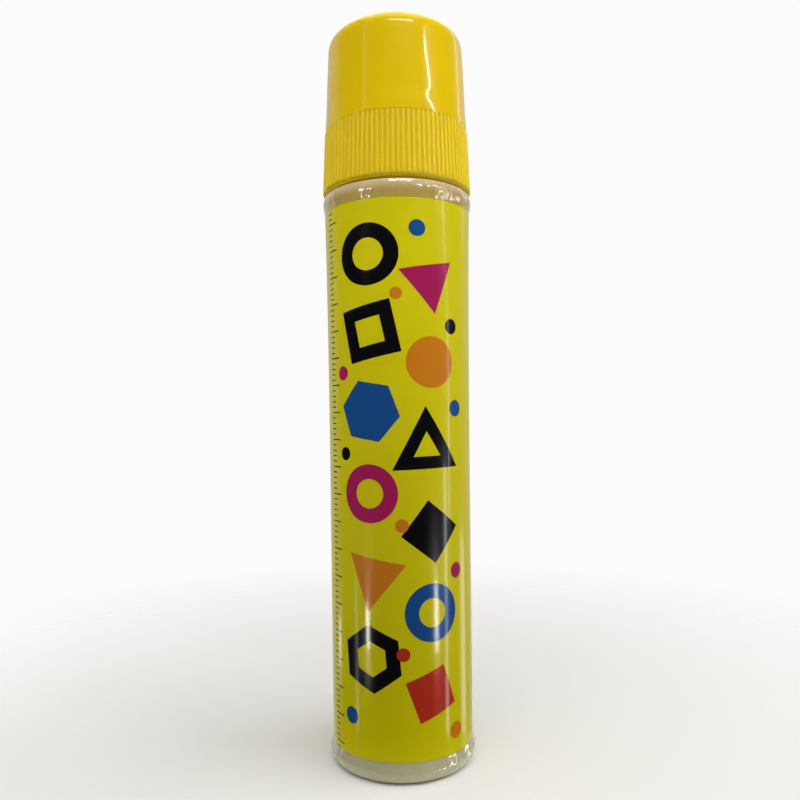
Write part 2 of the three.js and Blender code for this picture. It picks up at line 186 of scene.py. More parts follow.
def linear(hex_colour):
    """sRGB hex as linear RGBA: c / 12.92 for a dark channel, else ((c + 0.055) / 1.055) ** 2.4."""
    channels = np.array([int(hex_colour[at : at + 2], 16) for at in (0, 2, 4)]) / 255
    bright = ((channels + 0.055) / 1.055) ** 2.4
    return (*np.where(channels <= 0.04045, channels / 12.92, bright).tolist(), 1.0)


def size_property(name, description, default):
    """A length that a user may change."""
    return FloatProperty(name=name, description=description, default=default, unit="LENGTH", precision=5)


def angle_property(name, description, default):
    """An angle that a user may change."""
    return FloatProperty(name=name, description=description, default=default, subtype="ANGLE")


def strength_property(name, description, default):
    """A brightness that a user may change."""
    return FloatProperty(name=name, description=description, default=default, min=0)


def colour_property(name, description, hex_colour):
    """A colour that a user may change, from its sRGB hex value."""
    return FloatVectorProperty(
        name=name, description=description, default=linear(hex_colour), size=4, subtype="COLOR", min=0, max=1
    )


class PenSizes(bpy.types.PropertyGroup):
    """Sizes of the finish that a maker might change."""

    heel_round: size_property("Heel round", "Round between the base and the foot", 2.1 * MM)
    shoulder_round: size_property("Shoulder round", "Round at the top of the shoulder", 0.5 * MM)
    shoulder_slope: size_property("Shoulder slope", "How far the shoulder leans in above its bead", 0.3 * MM)
    shoulder_swell: size_property("Shoulder swell", "Round of the shoulder at its bead", 3.0 * MM)
    parting_line: size_property("Parting line", "Height of the mould's line on the bottle", 0.05 * MM)
    foot_bead: size_property("Foot bead", "Level of the widest part of the foot", 2.35 * MM)
    shoulder_bead: size_property("Shoulder bead", "Widest part of the shoulder, under its top", 1.3 * MM)
    bead_round: size_property("Bead round", "Round of the foot and shoulder towards the label", 1.0 * MM)
    crinkle: size_property("Crinkle", "Unevenness of the blown foot and shoulder", 0.09 * MM)
    film_thickness: size_property("Film thickness", "Thickness of the label", 0.15 * MM)
    film_overlap: size_property("Film overlap", "Lap of the label at its seam", 5.0 * MM)
    rib_count: IntProperty(name="Ribs", description="Ribs round the collar", default=92, min=12)
    rib_depth: size_property("Rib depth", "Height of the collar's ribs", 0.25 * MM)
    cap_round: size_property("Cap round", "Round between the cap's side and crown", 3.4 * MM)
    cap_crown: size_property("Cap crown", "Rise of the cap's crown", 0.3 * MM)
    cap_bow: size_property("Cap bow", "How far the cap's side swells at its middle", 0.05 * MM)
    cap_flare: size_property("Cap flare", "How far the cap's rim stands out over its side", 0.1 * MM)
    net_spacing: size_property("Net spacing", "Distance between the threads of the net", 0.85 * MM)
    net_thread: size_property("Net thread", "Thickness of a thread of the net", 0.17 * MM)


class PenColours(bpy.types.PropertyGroup):
    """Colours of the finishes."""

    cap: colour_property("Cap", "Golden yellow polypropylene", "EBC703")
    collar: colour_property("Collar", "Yellow polypropylene", "EDCC0A")
    bottle: colour_property("Bottle", "Natural polyethylene of the barrel", "C1BB96")
    # Painted light: the shoulder's colour stands in for yellow light from the label and the collar and for
    # shade under the collar
    shoulder: colour_property("Shoulder", "Polyethylene that the label and the collar tint", "C9AB5E")
    # Painted light: the paler top of the shoulder stands in for light where it faces up under the collar
    shoulder_top_light: colour_property("Shoulder top", "Stretched polyethylene under the collar", "DCC79E")
    film: colour_property("Film", "Yellow ground of the label", "D4C806")
    black: colour_property("Black ink", "Print on the label", "0E0E11")
    magenta: colour_property("Magenta ink", "Print on the label", "A61B55")
    blue: colour_property("Blue ink", "Print on the label", "174C8C")
    orange: colour_property("Orange ink", "Print on the label", "CC7A17")
    red: colour_property("Red ink", "Print on the label", "B8321E")
    glue: colour_property("Glue", "Clear adhesive", "E9E1C6")
    gasket: colour_property("Gasket", "Foamed rubber", "9B9A94")
    holder: colour_property("Holder", "Natural polyethylene", "E4E1D3")
    foam: colour_property("Foam", "Cream sponge", "E9D79A")
    nylon: colour_property("Nylon", "White net", "F1EFE4")
    floor: colour_property("Floor", "Pale studio floor", "F2F1EE")


class StageSettings(bpy.types.PropertyGroup):
    """Light and camera."""

    lens: FloatProperty(
        name="Lens", description="Focal length on a 36 mm sensor", default=32.4, min=1, unit="CAMERA"
    )
    distance: size_property("Distance", "Camera to the pen's axis", 140 * MM)
    height: size_property("Height", "Camera above the floor", 63.4 * MM)
    pitch: angle_property("Pitch", "Upward tilt", math.radians(1.67))
    roll: angle_property("Roll", "Turn in the picture", -0.0122)
    yaw: angle_property("Yaw", "Turn to the left", -0.0011)
    light: strength_property("Light", "Brightness of all the lights", 1.0)
    glow: strength_property("Glow", "Brightness of the backdrop in the gloss", 0.55)
    ambient: strength_property("Ambient", "Soft light from all round", 0.433)
    bounce: FloatProperty(
        name="Bounce",
        description="Share of its light that the floor sheds",
        default=0.12,
        min=0,
        max=1,
        subtype="FACTOR",
    )


# Curves, profiles and grids


def eased(share):
    """Smooth step: 0 up to 0, 1 from 1 on, and three squares less two cubes of the share between."""
    share = np.clip(share, 0, 1)
    return share * share * (3 - 2 * share)


def bell(offset, width):
    """Bell curve: e to the minus square of the offset, counted in widths."""
    return np.exp(-((offset / width) ** 2))


def sharp(radius, height):
    """Corners (radius, height, round) that have no round."""
    return np.column_stack(np.broadcast_arrays(radius, height, 0.0))


def rounded(corners, steps=ARC_STEPS):
    """Profile through corners (radius, height, round), closed from the last to the first.

    The list holds single corners and arrays of them. A round is a circular arc, as the rational
    quadratic curve from one tangent point by the corner to the other, where the corner weighs the
    sine of half its angle.
    """
    corners = np.vstack(corners)
    place = corners[:, :2]
    back = np.roll(place, 1, axis=0) - place
    ahead = np.roll(place, -1, axis=0) - place
    back /= np.linalg.norm(back, axis=1, keepdims=True)
    ahead /= np.linalg.norm(ahead, axis=1, keepdims=True)
    half = np.arccos(np.clip((back * ahead).sum(1, keepdims=True), -1, 1)) / 2
    tangent = corners[:, 2:] / np.tan(half)
    share = np.linspace(0, 1, steps)[None, :, None]
    weights = ((1 - share) ** 2, 2 * share * (1 - share) * np.sin(half)[:, None], share**2)
    ends = (place + back * tangent, place, place + ahead * tangent)
    arcs = sum(weight * end[:, None] for weight, end in zip(weights, ends)) / sum(weights)
    points = arcs.reshape(-1, 2)
    return points[np.linalg.norm(points - np.roll(points, 1, axis=0), axis=1) > TOUCH]


def refined(profile, longest, ring):
    """The profile with each stretch cut into equal steps no longer than a length, or its own length."""
    start = profile if ring else profile[:-1]
    reach = np.roll(profile, -1, axis=0)[: len(start)] - start
    allowed = np.broadcast_to(longest, len(profile))[: len(start)]
    counts = np.ceil(np.linalg.norm(reach, axis=1) / allowed).astype(int).clip(1)
    stretch = np.repeat(np.arange(len(start)), counts)
    step = np.arange(counts.sum()) - np.repeat(np.cumsum(counts) - counts, counts)
    points = start[stretch] + reach[stretch] * (step / counts[stretch])[:, None]
    return points if ring else np.concatenate([points, profile[-1:]])


def grid_quads(rows, columns, wrap_rows, wrap_columns):
    """Faces of a grid of points, numbered row by row, joined round where it wraps."""
    row = np.arange(rows if wrap_rows else rows - 1)[:, None]
    column = np.arange(columns if wrap_columns else columns - 1)[None, :]
    above = (row + 1) % rows
    beside = (column + 1) % columns
    corners = [(row, column), (row, beside), (above, beside), (above, column)]
    return np.stack([a * columns + b for a, b in corners], axis=-1).reshape(-1, 4)


def turned(profile, angles, swell=0.0, lift=0.0):
    """Body turned about Z: the profile's points carried round the angles, as rings of points.

    swell is added to the radius and lift to the height, on the grid of profile points and angles.
    A profile that starts and ends on the axis closes there with fans, and any other is a ring.
    """
    shape = (len(profile), len(angles))
    off_axis = profile[:, 0] > TOUCH
    radius = np.broadcast_to(profile[:, :1] + swell, shape)[off_axis]
    height = np.broadcast_to(profile[:, 1:] + lift, shape)[off_axis]
    grid = np.stack([radius * np.cos(angles), radius * np.sin(angles), height], axis=-1)
    rows, columns = radius.shape
    ring = off_axis.all()
    quads = grid_quads(rows, columns, ring, True)
    points = grid.reshape(-1, 3)
    if ring:
        return points, quads, NO_TRIANGLES
    poles = np.zeros((2, 3))
    poles[:, 2] = profile[[0, -1], 1] + np.broadcast_to(lift, shape)[[0, -1], 0]
    column = np.arange(columns)
    beside = np.roll(column, -1)
    first = np.stack([np.full(columns, rows * columns), beside, column], axis=1)
    last = np.stack([np.full(columns, rows * columns + 1), column, beside], axis=1)
    last[:, 1:] += (rows - 1) * columns
    return np.concatenate([points, poles]), quads, np.concatenate([first, last])


def add_piece(name, surface, material, body, nodes):
    """Makes a closed surface a piece of the pen that rides on a body and stands for its solids.

    The faces are turned round if the volume that they enclose comes out negative.
    """
    points, quads, triangles = surface
    halves = np.concatenate([quads[:, [0, 1, 2]], quads[:, [0, 2, 3]], triangles])
    first, second, third = (points[halves[:, corner]] for corner in range(3))
    outward = 1 if np.sum(first * np.cross(second, third)) > 0 else -1
    mesh = bpy.data.meshes.new(name)
    faces = quads[:, ::outward].tolist() + triangles[:, ::outward].tolist()
    mesh.from_pydata(points.tolist(), [], faces)
    mesh.polygons.foreach_set("use_smooth", np.ones(len(mesh.polygons), bool))
    mesh.set_sharp_from_angle(angle=SHARP_ANGLE)
    mesh.materials.append(material)
    piece = bpy.data.objects.new(name, mesh)
    bpy.context.scene.collection.objects.link(piece)
    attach(piece, body)
    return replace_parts(piece, *nodes)


def even_angles(count):
    """Angles evenly round the axis, from +X."""
    return np.arange(count) * FULL_TURN / count


def panel_radius(height):
    """Radius of the label panel: a taper from foot to shoulder, less a cubic that peaks at the waist."""
    along = (height - PANEL_LOW) / (PANEL_TOP - PANEL_LOW)
    taper = SHOULDER_RADIUS - BARREL_TAPER * (1 - along) - PANEL_RECESS
    peak = 4 / 27
    return taper - PANEL_WAIST / peak * along**2 * (1 - along)


def along_panel(offset, start, end, steps=16):
    """Corners that follow the panel at an offset, from one height to another."""
    height = np.linspace(start, end, steps)
    return sharp(panel_radius(height) + offset, height)


def upright(radius, start, end):
    """Corners up or down a plain wall, close enough together to carry a thread."""
    return sharp(radius, np.linspace(start, end, math.ceil(4 * abs(end - start) / THREAD_CREST)))


def dish(radius, level, steps=14):
    """Corners of a base's dish, from the axis out: a parabola that rises to the axis."""
    across = np.linspace(0, radius, steps)
    return sharp(across, level + BASE_DISH * (1 - (across / radius) ** 2))


def inner_wall(gap, top, heel_round):
    """Corners of the bottle's inside from a height down to the middle of its base, shrunk by a gap."""
    floor = BASE_THICKNESS + gap
    wall = panel_radius(PANEL_LOW) - BARREL_WALL - gap
    ring = FOOT_RADIUS - heel_round - STANDING_RING
    return np.vstack([
        along_panel(-BARREL_WALL - gap, top, PANEL_LOW),
        (wall, floor, heel_round - BARREL_WALL),
        dish(ring, floor)[::-1],
    ])


def thread_rise(heights, angles, start):
    """Rise of a thread ridge over its wall, on a grid of heights and angles.

    Across the ridge it is a trapezoid of the root's and the crest's width, centred on a helix that
    climbs one pitch a turn, and it fades to nothing at both ends.
    """
    rise = np.zeros((len(heights), len(angles)))
    for lap in range(math.ceil(THREAD_TURNS)):
        turns = angles / FULL_TURN + lap
        off = np.abs(heights[:, None] - start - turns * THREAD_PITCH)
        ridge = np.clip((THREAD_ROOT / 2 - off) / ((THREAD_ROOT - THREAD_CREST) / 2), 0, 1)
        fade = np.clip(np.minimum(turns, THREAD_TURNS - turns) / THREAD_FADE, 0, 1)
        rise = np.maximum(rise, ridge * fade)
    return THREAD_DEPTH * rise


def ripple(heights, angles, radius, wave, slant=1.0):
    """Uneven swell between -1 and 1 on a grid: a mean of slanted sine waves round a cylinder.

    Each has its own whole number of waves a turn, near the number that gives its wavelength.
    """
    slants = slant * np.array([0.3, -0.7, 1.1, -0.2, 0.8, -1.3])
    lengths = wave * np.array([1.0, 0.62, 1.37, 0.81, 1.93, 0.47])
    counts = np.round(FULL_TURN * radius / lengths)
    phases = np.arange(len(slants)) * 2.4  # in no step with a turn
    round_part = counts[:, None, None] * angles
    up_part = (slants * FULL_TURN / lengths)[:, None, None] * heights[:, None]
    return np.sin(round_part + up_part + phases[:, None, None]).mean(axis=0)


# Surfaces of the pieces


def bottle_surface(sizes):
    """Blown bottle: dished base, heel, foot bead, label panel, shoulder bead and threaded neck.

    The profile is turned about Z. The neck's thread, the mould's parting line (a narrow bell curve
    over +X and -X), its pinch-off across the base (another) and the crinkle of the beads are added.
    """
    ring = FOOT_RADIUS - sizes.heel_round - STANDING_RING
    ceiling = BARREL_HEIGHT - SHOULDER_THICKNESS
    edge = 0.25 * MM
    neck_edge = 0.3 * MM
    flush = LABEL_GAP + sizes.film_thickness - FILM_STEP / 2
    low = LABEL_LOW - FILM_STEP
    top = LABEL_TOP + FILM_STEP
    foot = FOOT_RADIUS + FOOT_STANDOUT
    shoulder = SHOULDER_RADIUS + SHOULDER_STANDOUT
    profile = rounded([
        dish(ring, 0)[:-1],
        (ring, 0, edge),
        (foot, 0, sizes.heel_round),
        (foot, sizes.foot_bead, sizes.bead_round),
        (panel_radius(low) + flush, low, FILM_STEP / 2),
        along_panel(0, low, top),
        (panel_radius(top) + flush, top, FILM_STEP / 2),
        (shoulder, BARREL_HEIGHT - sizes.shoulder_bead, sizes.shoulder_swell),
        (shoulder - sizes.shoulder_slope, BARREL_HEIGHT, sizes.shoulder_round),
        (NECK_RADIUS, BARREL_HEIGHT, neck_edge),
        upright(NECK_RADIUS, BARREL_HEIGHT + 2 * neck_edge, NECK_RIM - 2 * neck_edge),
        (NECK_RADIUS, NECK_RIM, neck_edge),
        (NECK_BORE, NECK_RIM, neck_edge),
        (NECK_BORE, ceiling, neck_edge),
        inner_wall(0, ceiling, sizes.heel_round),
    ])
    radius, height = profile.T
    crinkled = (radius > FOOT_RADIUS - sizes.heel_round) & (height < BARREL_HEIGHT)
    crinkled &= (height < low) | (height > top)
    profile = refined(profile, np.where(crinkled, CRINKLE_STEP, np.inf), False)
    near_line = np.linspace(-1, 1, PARTING_COLUMNS) * PARTING_REACH
    angles = np.sort(np.concatenate([
        even_angles(2 * ROUND_COLUMNS) + math.pi / ROUND_COLUMNS / 2,
        near_line % FULL_TURN,
        near_line + math.pi,
    ]))
    radius, height = profile.T
    outer = np.arange(len(profile)) <= np.argmax(height > NECK_RIM - TOUCH)
    on_neck = outer & (np.abs(radius - NECK_RADIUS) < TOUCH)
    on_barrel = outer & (radius > ring) & (height < BARREL_HEIGHT)
    on_bead = on_barrel & ((height < low) | (height > top))
    on_dish = outer & (radius < ring) & (height < BASE_DISH + TOUCH)
    swell = thread_rise(height, angles, NECK_THREAD) * on_neck[:, None]
    line = bell(np.sin(angles) * SHOULDER_RADIUS, PARTING_WIDTH)
    swell += sizes.parting_line * line * on_barrel[:, None]
    to_film = np.minimum(np.abs(height - low), np.abs(height - top))
    fade = np.clip(np.minimum(to_film / CRINKLE_FADE, height / CRINKLE_FOOT), 0, 1)
    crinkle = ripple(height, angles, SHOULDER_RADIUS, CRINKLE_WAVE, CRINKLE_SLANT) - CRINKLE_INSET
    swell += sizes.crinkle * crinkle * (on_bead * fade)[:, None]
    pinch = bell(radius[:, None] * np.sin(angles), PINCH_WIDTH)
    fade = np.clip((ring - radius) / PINCH_FADE, 0, 1)
    lift = -PINCH_DEPTH * pinch * (on_dish * fade)[:, None]
    return turned(profile, angles, swell, lift)


def label_surface(sizes):
    """Wrap label: a film bent once round the panel and a little further, lapped at the back.

    Its section is a thin rectangle that follows the panel. It is carried round the axis from the
    back, and over the lap it climbs on to its own start. Also gives each point's place on the flat
    film: how far round from the front, and how high.
    """
    steps = 60
    lap_columns = 24
    lap_gap = 0.01 * MM
    section = np.vstack([
        along_panel(LABEL_GAP + sizes.film_thickness, LABEL_LOW, LABEL_TOP, steps),
        along_panel(LABEL_GAP, LABEL_TOP, LABEL_LOW, steps),
    ])
    lap = sizes.film_overlap / SHOULDER_RADIUS
    columns = ROUND_COLUMNS + lap_columns
    turn = np.linspace(-math.pi, math.pi + lap, columns)
    climb = (sizes.film_thickness + lap_gap) * eased((turn - math.pi + lap / 3) / (lap / 3))
    radius = section[:, :1] + climb
    height = np.broadcast_to(section[:, 1:2], radius.shape)
    grid = np.stack([radius * np.sin(turn), -radius * np.cos(turn), height], axis=-1)
    rows = len(section)
    quads = grid_quads(rows, columns, True, False)
    rung = np.arange(rows // 2 - 1)
    edge = np.stack([rung, rung + 1, rows - 2 - rung, rows - 1 - rung], axis=1) * columns
    quads = np.concatenate([quads, edge, edge[:, ::-1] + columns - 1])
    across = np.broadcast_to(turn * panel_radius((LABEL_LOW + LABEL_TOP) / 2), radius.shape)
    flat = np.stack([across, height, np.zeros_like(height)], axis=-1)
    return (grid.reshape(-1, 3), quads, NO_TRIANGLES), flat.reshape(-1, 3)


def glue_surface(sizes):
    """Glue: the inside of the barrel, under a surface that climbs the wall as an exponential."""
    wetting = 0.05 * MM
    climb = 0.9 * MM
    climb_width = 1.4 * MM
    level = top_of("glue_fill")
    wall = panel_radius(level) - BARREL_WALL - wetting
    across = np.linspace(0, wall, 20)[:-1]
    surface = sharp(across, level - climb + climb * np.exp((across - wall) / climb_width))
    profile = rounded([surface, inner_wall(wetting, level, sizes.heel_round)])
    return turned(profile, even_angles(ROUND_COLUMNS))


def gasket_surface():
    """Gasket: a flat ring with soft edges, turned about Z."""
    low = low_of("neck_gasket")
    high = top_of("neck_gasket")
    soft = 0.25 * MM
    corners = [
        (NECK_RADIUS, low, soft),
        (NECK_RADIUS, high, soft),
        (NECK_BORE, high, soft),
        (NECK_BORE, low, soft),
    ]
    return turned(rounded(corners), even_angles(ROUND_COLUMNS // 2))


def dome(radius, rise, steps=20):
    """Corners of half an ellipse above the collar's ledge, from its foot up to the axis."""
    angle = np.linspace(0, math.pi / 2, steps)
    across = radius * np.cos(angle)
    across[-1] = 0
    return sharp(across, LEDGE + rise * np.sin(angle))


def sponge_surface():
    """Sponge: a plug under half an ellipsoid, turned about Z, pitted a little by its open cells."""
    bottom = low_of("sponge")
    foot_round = 0.4 * MM
    longest = 0.35 * MM
    profile = rounded([
        (0, bottom, 0),
        (SPONGE_RADIUS, bottom, foot_round),
        dome(SPONGE_RADIUS, top_of("sponge") - LEDGE),
    ])
    profile = refined(profile, longest, False)
    angles = even_angles(ROUND_COLUMNS)
    pits = ripple(profile[:, 1], angles, SPONGE_RADIUS, PIT_WAVE) - 1
    off_axis = np.clip(profile[:, 0] / SPONGE_RADIUS, 0, 1)
    return turned(profile, angles, PIT_DEPTH * pits * off_axis[:, None])


def net_surface(sizes):
    """Net: two crossing sets of threads, laid as a flat square weave and drawn over the dome.

    A point of the flat weave keeps its direction from the middle, and its distance from there is
    laid off along the dome's meridian. A thread is a four-sided tube along that line. It goes over
    one thread and under the next, as a cosine of its place between them.
    """
    rise = top_of("mesh_cover") - NET_THICKNESS / 2 - LEDGE
    foot = low_of("mesh_cover") + NET_THICKNESS / 2
    rim = SPONGE_RADIUS + NET_CLEARANCE + NET_FLANGE
    meridian = np.concatenate([dome(NET_RADIUS, rise, 60)[::-1, :2], [(NET_RADIUS, foot), (rim, foot)]])
    length = np.concatenate([[0], np.cumsum(np.linalg.norm(np.diff(meridian, axis=0), axis=1))])
    reach = length[-1] - sizes.net_thread
    count = int(reach / sizes.net_spacing)
    lines = np.arange(-count, count + 1)
    samples = 160
    offset = lines[:, None] * sizes.net_spacing
    half = np.sqrt(reach**2 - offset**2)
    along = half * np.linspace(-1, 1, samples)
    distance = np.hypot(offset, along)
    radius = np.interp(distance, length, meridian[:, 0])
    height = np.interp(distance, length, meridian[:, 1])
    slope = np.gradient(meridian, length, axis=0)
    normal_out = -np.interp(distance, length, slope[:, 1])
    normal_up = np.interp(distance, length, slope[:, 0])
    weave = (NET_THICKNESS - sizes.net_thread) / 2 * np.cos(math.pi * along / sizes.net_spacing)
    weave *= np.where(lines % 2 == 0, 1, -1)[:, None]
    corners = (math.pi / 4 + np.arange(4) * math.pi / 2)[:, None, None]
    tubes = []
    for over, turn in ((1, 0), (-1, math.pi / 2)):
        bearing = np.arctan2(along, offset) + turn
        east, north = np.cos(bearing), np.sin(bearing)
        centre = np.stack([radius * east, radius * north, height], axis=-1)
        normal = np.stack([normal_out * east, normal_out * north, normal_up], axis=-1)
        normal /= np.linalg.norm(normal, axis=-1, keepdims=True)
        centre += normal * (over * weave)[..., None]
        forward = np.gradient(centre, axis=1)
        sideways = np.cross(forward, normal)
        sideways /= np.linalg.norm(sideways, axis=-1, keepdims=True)
        around = normal[:, None] * np.cos(corners) + sideways[:, None] * np.sin(corners)
        tubes.append(centre[:, None] + around * sizes.net_thread / 2)
    tubes = np.concatenate(tubes)
    quads = grid_quads(4, samples, True, False)
    end = np.arange(4) * samples
    quads = np.concatenate([quads, end[None], end[None, ::-1] + samples - 1])
    starts = np.arange(len(tubes)) * 4 * samples
    quads = (quads[None] + starts[:, None, None]).reshape(-1, 4)
    return tubes.reshape(-1, 3), quads, NO_TRIANGLES


def collar_surface(sizes):
    """Screw collar: ribbed skirt, ledge and spigot outside, lip, bead and thread inside.

    The profile is turned about Z. A rib is a raised cosine sharpened into a flat top. It grows out
    of the skirt above its foot, and its top end is a quarter of an ellipse. Also gives each point's
    place between rib root and crest.
    """
    top_radius = COLLAR_RADIUS - COLLAR_DRAFT
    lip_low = LEDGE - LIP_THICKNESS
    lip_radius = NET_RADIUS + NET_THICKNESS / 2 + LIP_CLEARANCE
    bead_top = FLANGE_TOP - FLANGE_THICKNESS - BEAD_GAP
    bead_low = bead_top - BEAD_HEIGHT - BEAD_CHAMFER
    bead_radius = NECK_RADIUS + BEAD_CLEARANCE
    snap = LEDGE + SNAP_LEVEL
    spigot_bore = SPIGOT_RADIUS - SPIGOT_WALL
    edge = 0.2 * MM
    fine_edge = edge / 2
    rib_low = COLLAR_FOOT + RIB_FOOT
    rib_start = 0.7 * MM
    rib_end = 0.3 * MM
    rib_sharpness = 1.1
    rib_phase = 0.35 * math.pi
    blunt = 0.25  # share of a rib's depth that is left where it ends
    skirt = np.concatenate([
        rib_low + rib_start * np.linspace(0, 1, 6),
        np.linspace(rib_low + 2 * rib_start, LEDGE - 2 * rib_end, 4),
        LEDGE - rib_end * np.array([1, 0.75, 0.5, 0.3, 0.18]),
    ])
    corners = [
        (COLLAR_BORE, COLLAR_FOOT, edge),
        (COLLAR_RADIUS, COLLAR_FOOT, 2.5 * edge),
        sharp(np.interp(skirt, [COLLAR_FOOT, LEDGE], [COLLAR_RADIUS, top_radius]), skirt),
        (top_radius, LEDGE, edge / 8),
        (SPIGOT_RADIUS, LEDGE, edge),
        (SPIGOT_RADIUS, snap - SNAP_WIDTH, edge),
        (SPIGOT_RADIUS + SPIGOT_BEAD, snap, edge),
        (SPIGOT_RADIUS, snap + SNAP_WIDTH, edge),
        (SPIGOT_RADIUS, SPIGOT_TOP, 2 * edge),
        (spigot_bore, SPIGOT_TOP, edge),
        (spigot_bore, LEDGE, edge),
        (lip_radius, LEDGE, edge),
        (lip_radius, lip_low, edge),
        (COLLAR_BORE, lip_low, fine_edge),
        (COLLAR_BORE, bead_top, fine_edge),
        (bead_radius, bead_top, fine_edge),
        (bead_radius, bead_top - BEAD_HEIGHT, fine_edge),
        (COLLAR_BORE, bead_low, fine_edge),
        upright(COLLAR_BORE, bead_low - edge, COLLAR_FOOT + 2 * edge),
    ]
    profile = rounded(corners, 4)
    angles = even_angles(sizes.rib_count * RIB_COLUMNS)
    radius, height = profile.T
    rib = np.clip(0.5 - rib_sharpness * np.cos(angles * sizes.rib_count + rib_phase), 0, 1)
    near_top = np.clip((height - LEDGE + rib_end) / rib_end, 0, 1)
    on_skirt = (radius > top_radius - edge / 4) & (height < LEDGE + TOUCH)
    ribbed = on_skirt * eased((height - rib_low) / rib_start)
    ribbed *= blunt + (1 - blunt) * np.sqrt(1 - near_top**2)
    crest = rib * ribbed[:, None]
    on_bore = (np.abs(radius - COLLAR_BORE) < TOUCH) & (height < bead_low)
    thread = thread_rise(height, angles, COLLAR_THREAD) * on_bore[:, None]
    return turned(profile, angles, sizes.rib_depth * crest - thread), crest.reshape(-1)


def cap_side_radius(sizes, level):
    """Radius of the cap's side, which draws in evenly from the rim to the round of the crown."""
    side_height = CAP_TOP - sizes.cap_crown - sizes.cap_round - CAP_RIM
    return CAP_RADIUS - CAP_DRAFT / side_height * (level - CAP_RIM)


def cap_crown_level(sizes, radius, top):
    """Level of the cap's crown: a parabola that falls from the axis to the round."""
    return top - sizes.cap_crown * (radius / (CAP_RADIUS - CAP_DRAFT - sizes.cap_round)) ** 2


def cap_surface(sizes):
    """Cap: a drafted shell with a slightly bowed side, a round shoulder and a low crown.

    The profile is turned about Z. The crown is a parabola with the dimple of the mould's gate in
    its middle, a bell curve, and the inside has the snap bead.
    """
    rim_edge = 0.05 * MM
    corner_drop = 0.25 * MM  # makes the round fuller
    flare_level = 1.2 * MM
    flare_height = 3.2 * MM
    longest = 1.2 * MM
    crown_edge = CAP_RADIUS - CAP_DRAFT - sizes.cap_round
    crown_corner = CAP_TOP - sizes.cap_crown
    share = np.linspace(0.03, 0.97, 30)
    level = CAP_RIM + share * (crown_corner - sizes.cap_round - CAP_RIM)
    bow = sizes.cap_bow * (1 - (2 * share - 1) ** 2)
    flare = sizes.cap_flare * eased((level - CAP_RIM - flare_level) / flare_height)
    corner = crown_corner - corner_drop
    crown = np.linspace(crown_edge, 0, 24)
    gate = GATE_DEPTH * bell(crown, GATE_WIDTH)
    ceiling = CAP_TOP - CAP_TOP_THICKNESS
    inner_corner = ceiling - sizes.cap_crown
    inner_crown = np.linspace(0, crown_edge - CAP_WALL, 8)
    bore = CAP_RADIUS - CAP_WALL
    snap = LEDGE + SNAP_LEVEL / 2
    corners = [
        sharp(inner_crown, cap_crown_level(sizes, inner_crown, ceiling)),
        (cap_side_radius(sizes, inner_corner) - CAP_WALL, inner_corner, sizes.cap_round - CAP_WALL),
        (bore, snap + SNAP_WIDTH, 0),
        (bore - CAP_BEAD, snap, CAP_BEAD),
        (bore, snap - SNAP_WIDTH, 0),
        (bore, CAP_RIM, rim_edge),
        (CAP_RADIUS, CAP_RIM, rim_edge),
        sharp(cap_side_radius(sizes, level) + bow - flare, level),
        (cap_side_radius(sizes, corner) - sizes.cap_flare, corner, sizes.cap_round),
        sharp(crown, cap_crown_level(sizes, crown, CAP_TOP) - gate),
    ]
    profile = refined(rounded(corners, 14), longest, False)
    return turned(profile, even_angles(ROUND_COLUMNS))


# Materials


def add_node(tree, kind, inputs, output=0, **settings):
    """Adds a node with its settings, sets or links its inputs, and gives one of its outputs."""
    node = tree.nodes.new("ShaderNode" + kind)
    for name, value in settings.items():
        setattr(node, name, value)
    for key, value in inputs.items():
        if isinstance(value, bpy.types.NodeSocket):
            tree.links.new(value, node.inputs[key])
        else:
            node.inputs[key].default_value = value
    return node.outputs[output] if node.outputs else None


def start_material(name):
    """A bare material, its node tree and its Object coordinates."""
    material = bpy.data.materials.new(name)
    material.use_nodes = True
    tree = material.node_tree
    tree.nodes.clear()
    return material, tree, add_node(tree, "TexCoord", {}, "Object")


def tinted(colour, amount):
    """A colour made lighter or darker by a factor."""
    return (*[min(1.0, channel * amount) for channel in colour[:3]], 1.0)


# A Mix node's sockets share their names, so they go by number: 0 is the share, 2 and 3 are numbers,
# 6 and 7 are colours, and the mixed colour comes out at 2


def varied(tree, pattern, colour, dark, light):
    """A colour that a pattern makes darker and lighter, by two factors."""
    shade = {0: pattern, 6: tinted(colour, dark), 7: tinted(colour, light)}
    return add_node(tree, "Mix", shade, 2, data_type="RGBA")


def finish_material(material, tree, colour, gloss, relief, inputs):
    """Ends a material with one Principled shader, and gives the material.

    gloss is a pattern with the roughness at its low and its high end. relief is a pattern with its
    depth, or None. The other inputs are the same all over the surface.
    """
    pattern, low, high = gloss
    inputs["Base Color"] = colour
    inputs["Roughness"] = add_node(tree, "MapRange", {"Value": pattern, "To Min": low, "To Max": high})
    if relief:
        pattern, depth = relief
        inputs["Normal"] = add_node(tree, "Bump", {"Height": pattern, "Distance": depth})
    add_node(tree, "OutputMaterial", {"Surface": add_node(tree, "BsdfPrincipled", inputs)})
    return material


def polished_polypropylene(colour):
    """Polypropylene off a polished mould: deep gloss with a soft halo, and faint flow marks."""
    material, tree, place = start_material("polished_polypropylene")
    flow = add_node(tree, "TexNoise", {"Vector": place, "Scale": 1 / (11 * MM)})
    haze = add_node(tree, "TexNoise", {"Vector": place, "Scale": 1 / (2.5 * MM)})
    shade = varied(tree, flow, colour, 0.95, 1.04)
    return finish_material(material, tree, shade, (haze, 0.17, 0.24), (flow, 0.04 * MM), {
        "IOR": 1.49,
        "Specular IOR Level": 0.18,
        "Coat Weight": 0.45,
        "Coat Roughness": 0.05,
        "Subsurface Weight": 0.06,
        "Subsurface Radius": (1.0, 0.6, 0.1),
        "Subsurface Scale": 1.0 * MM,
    })


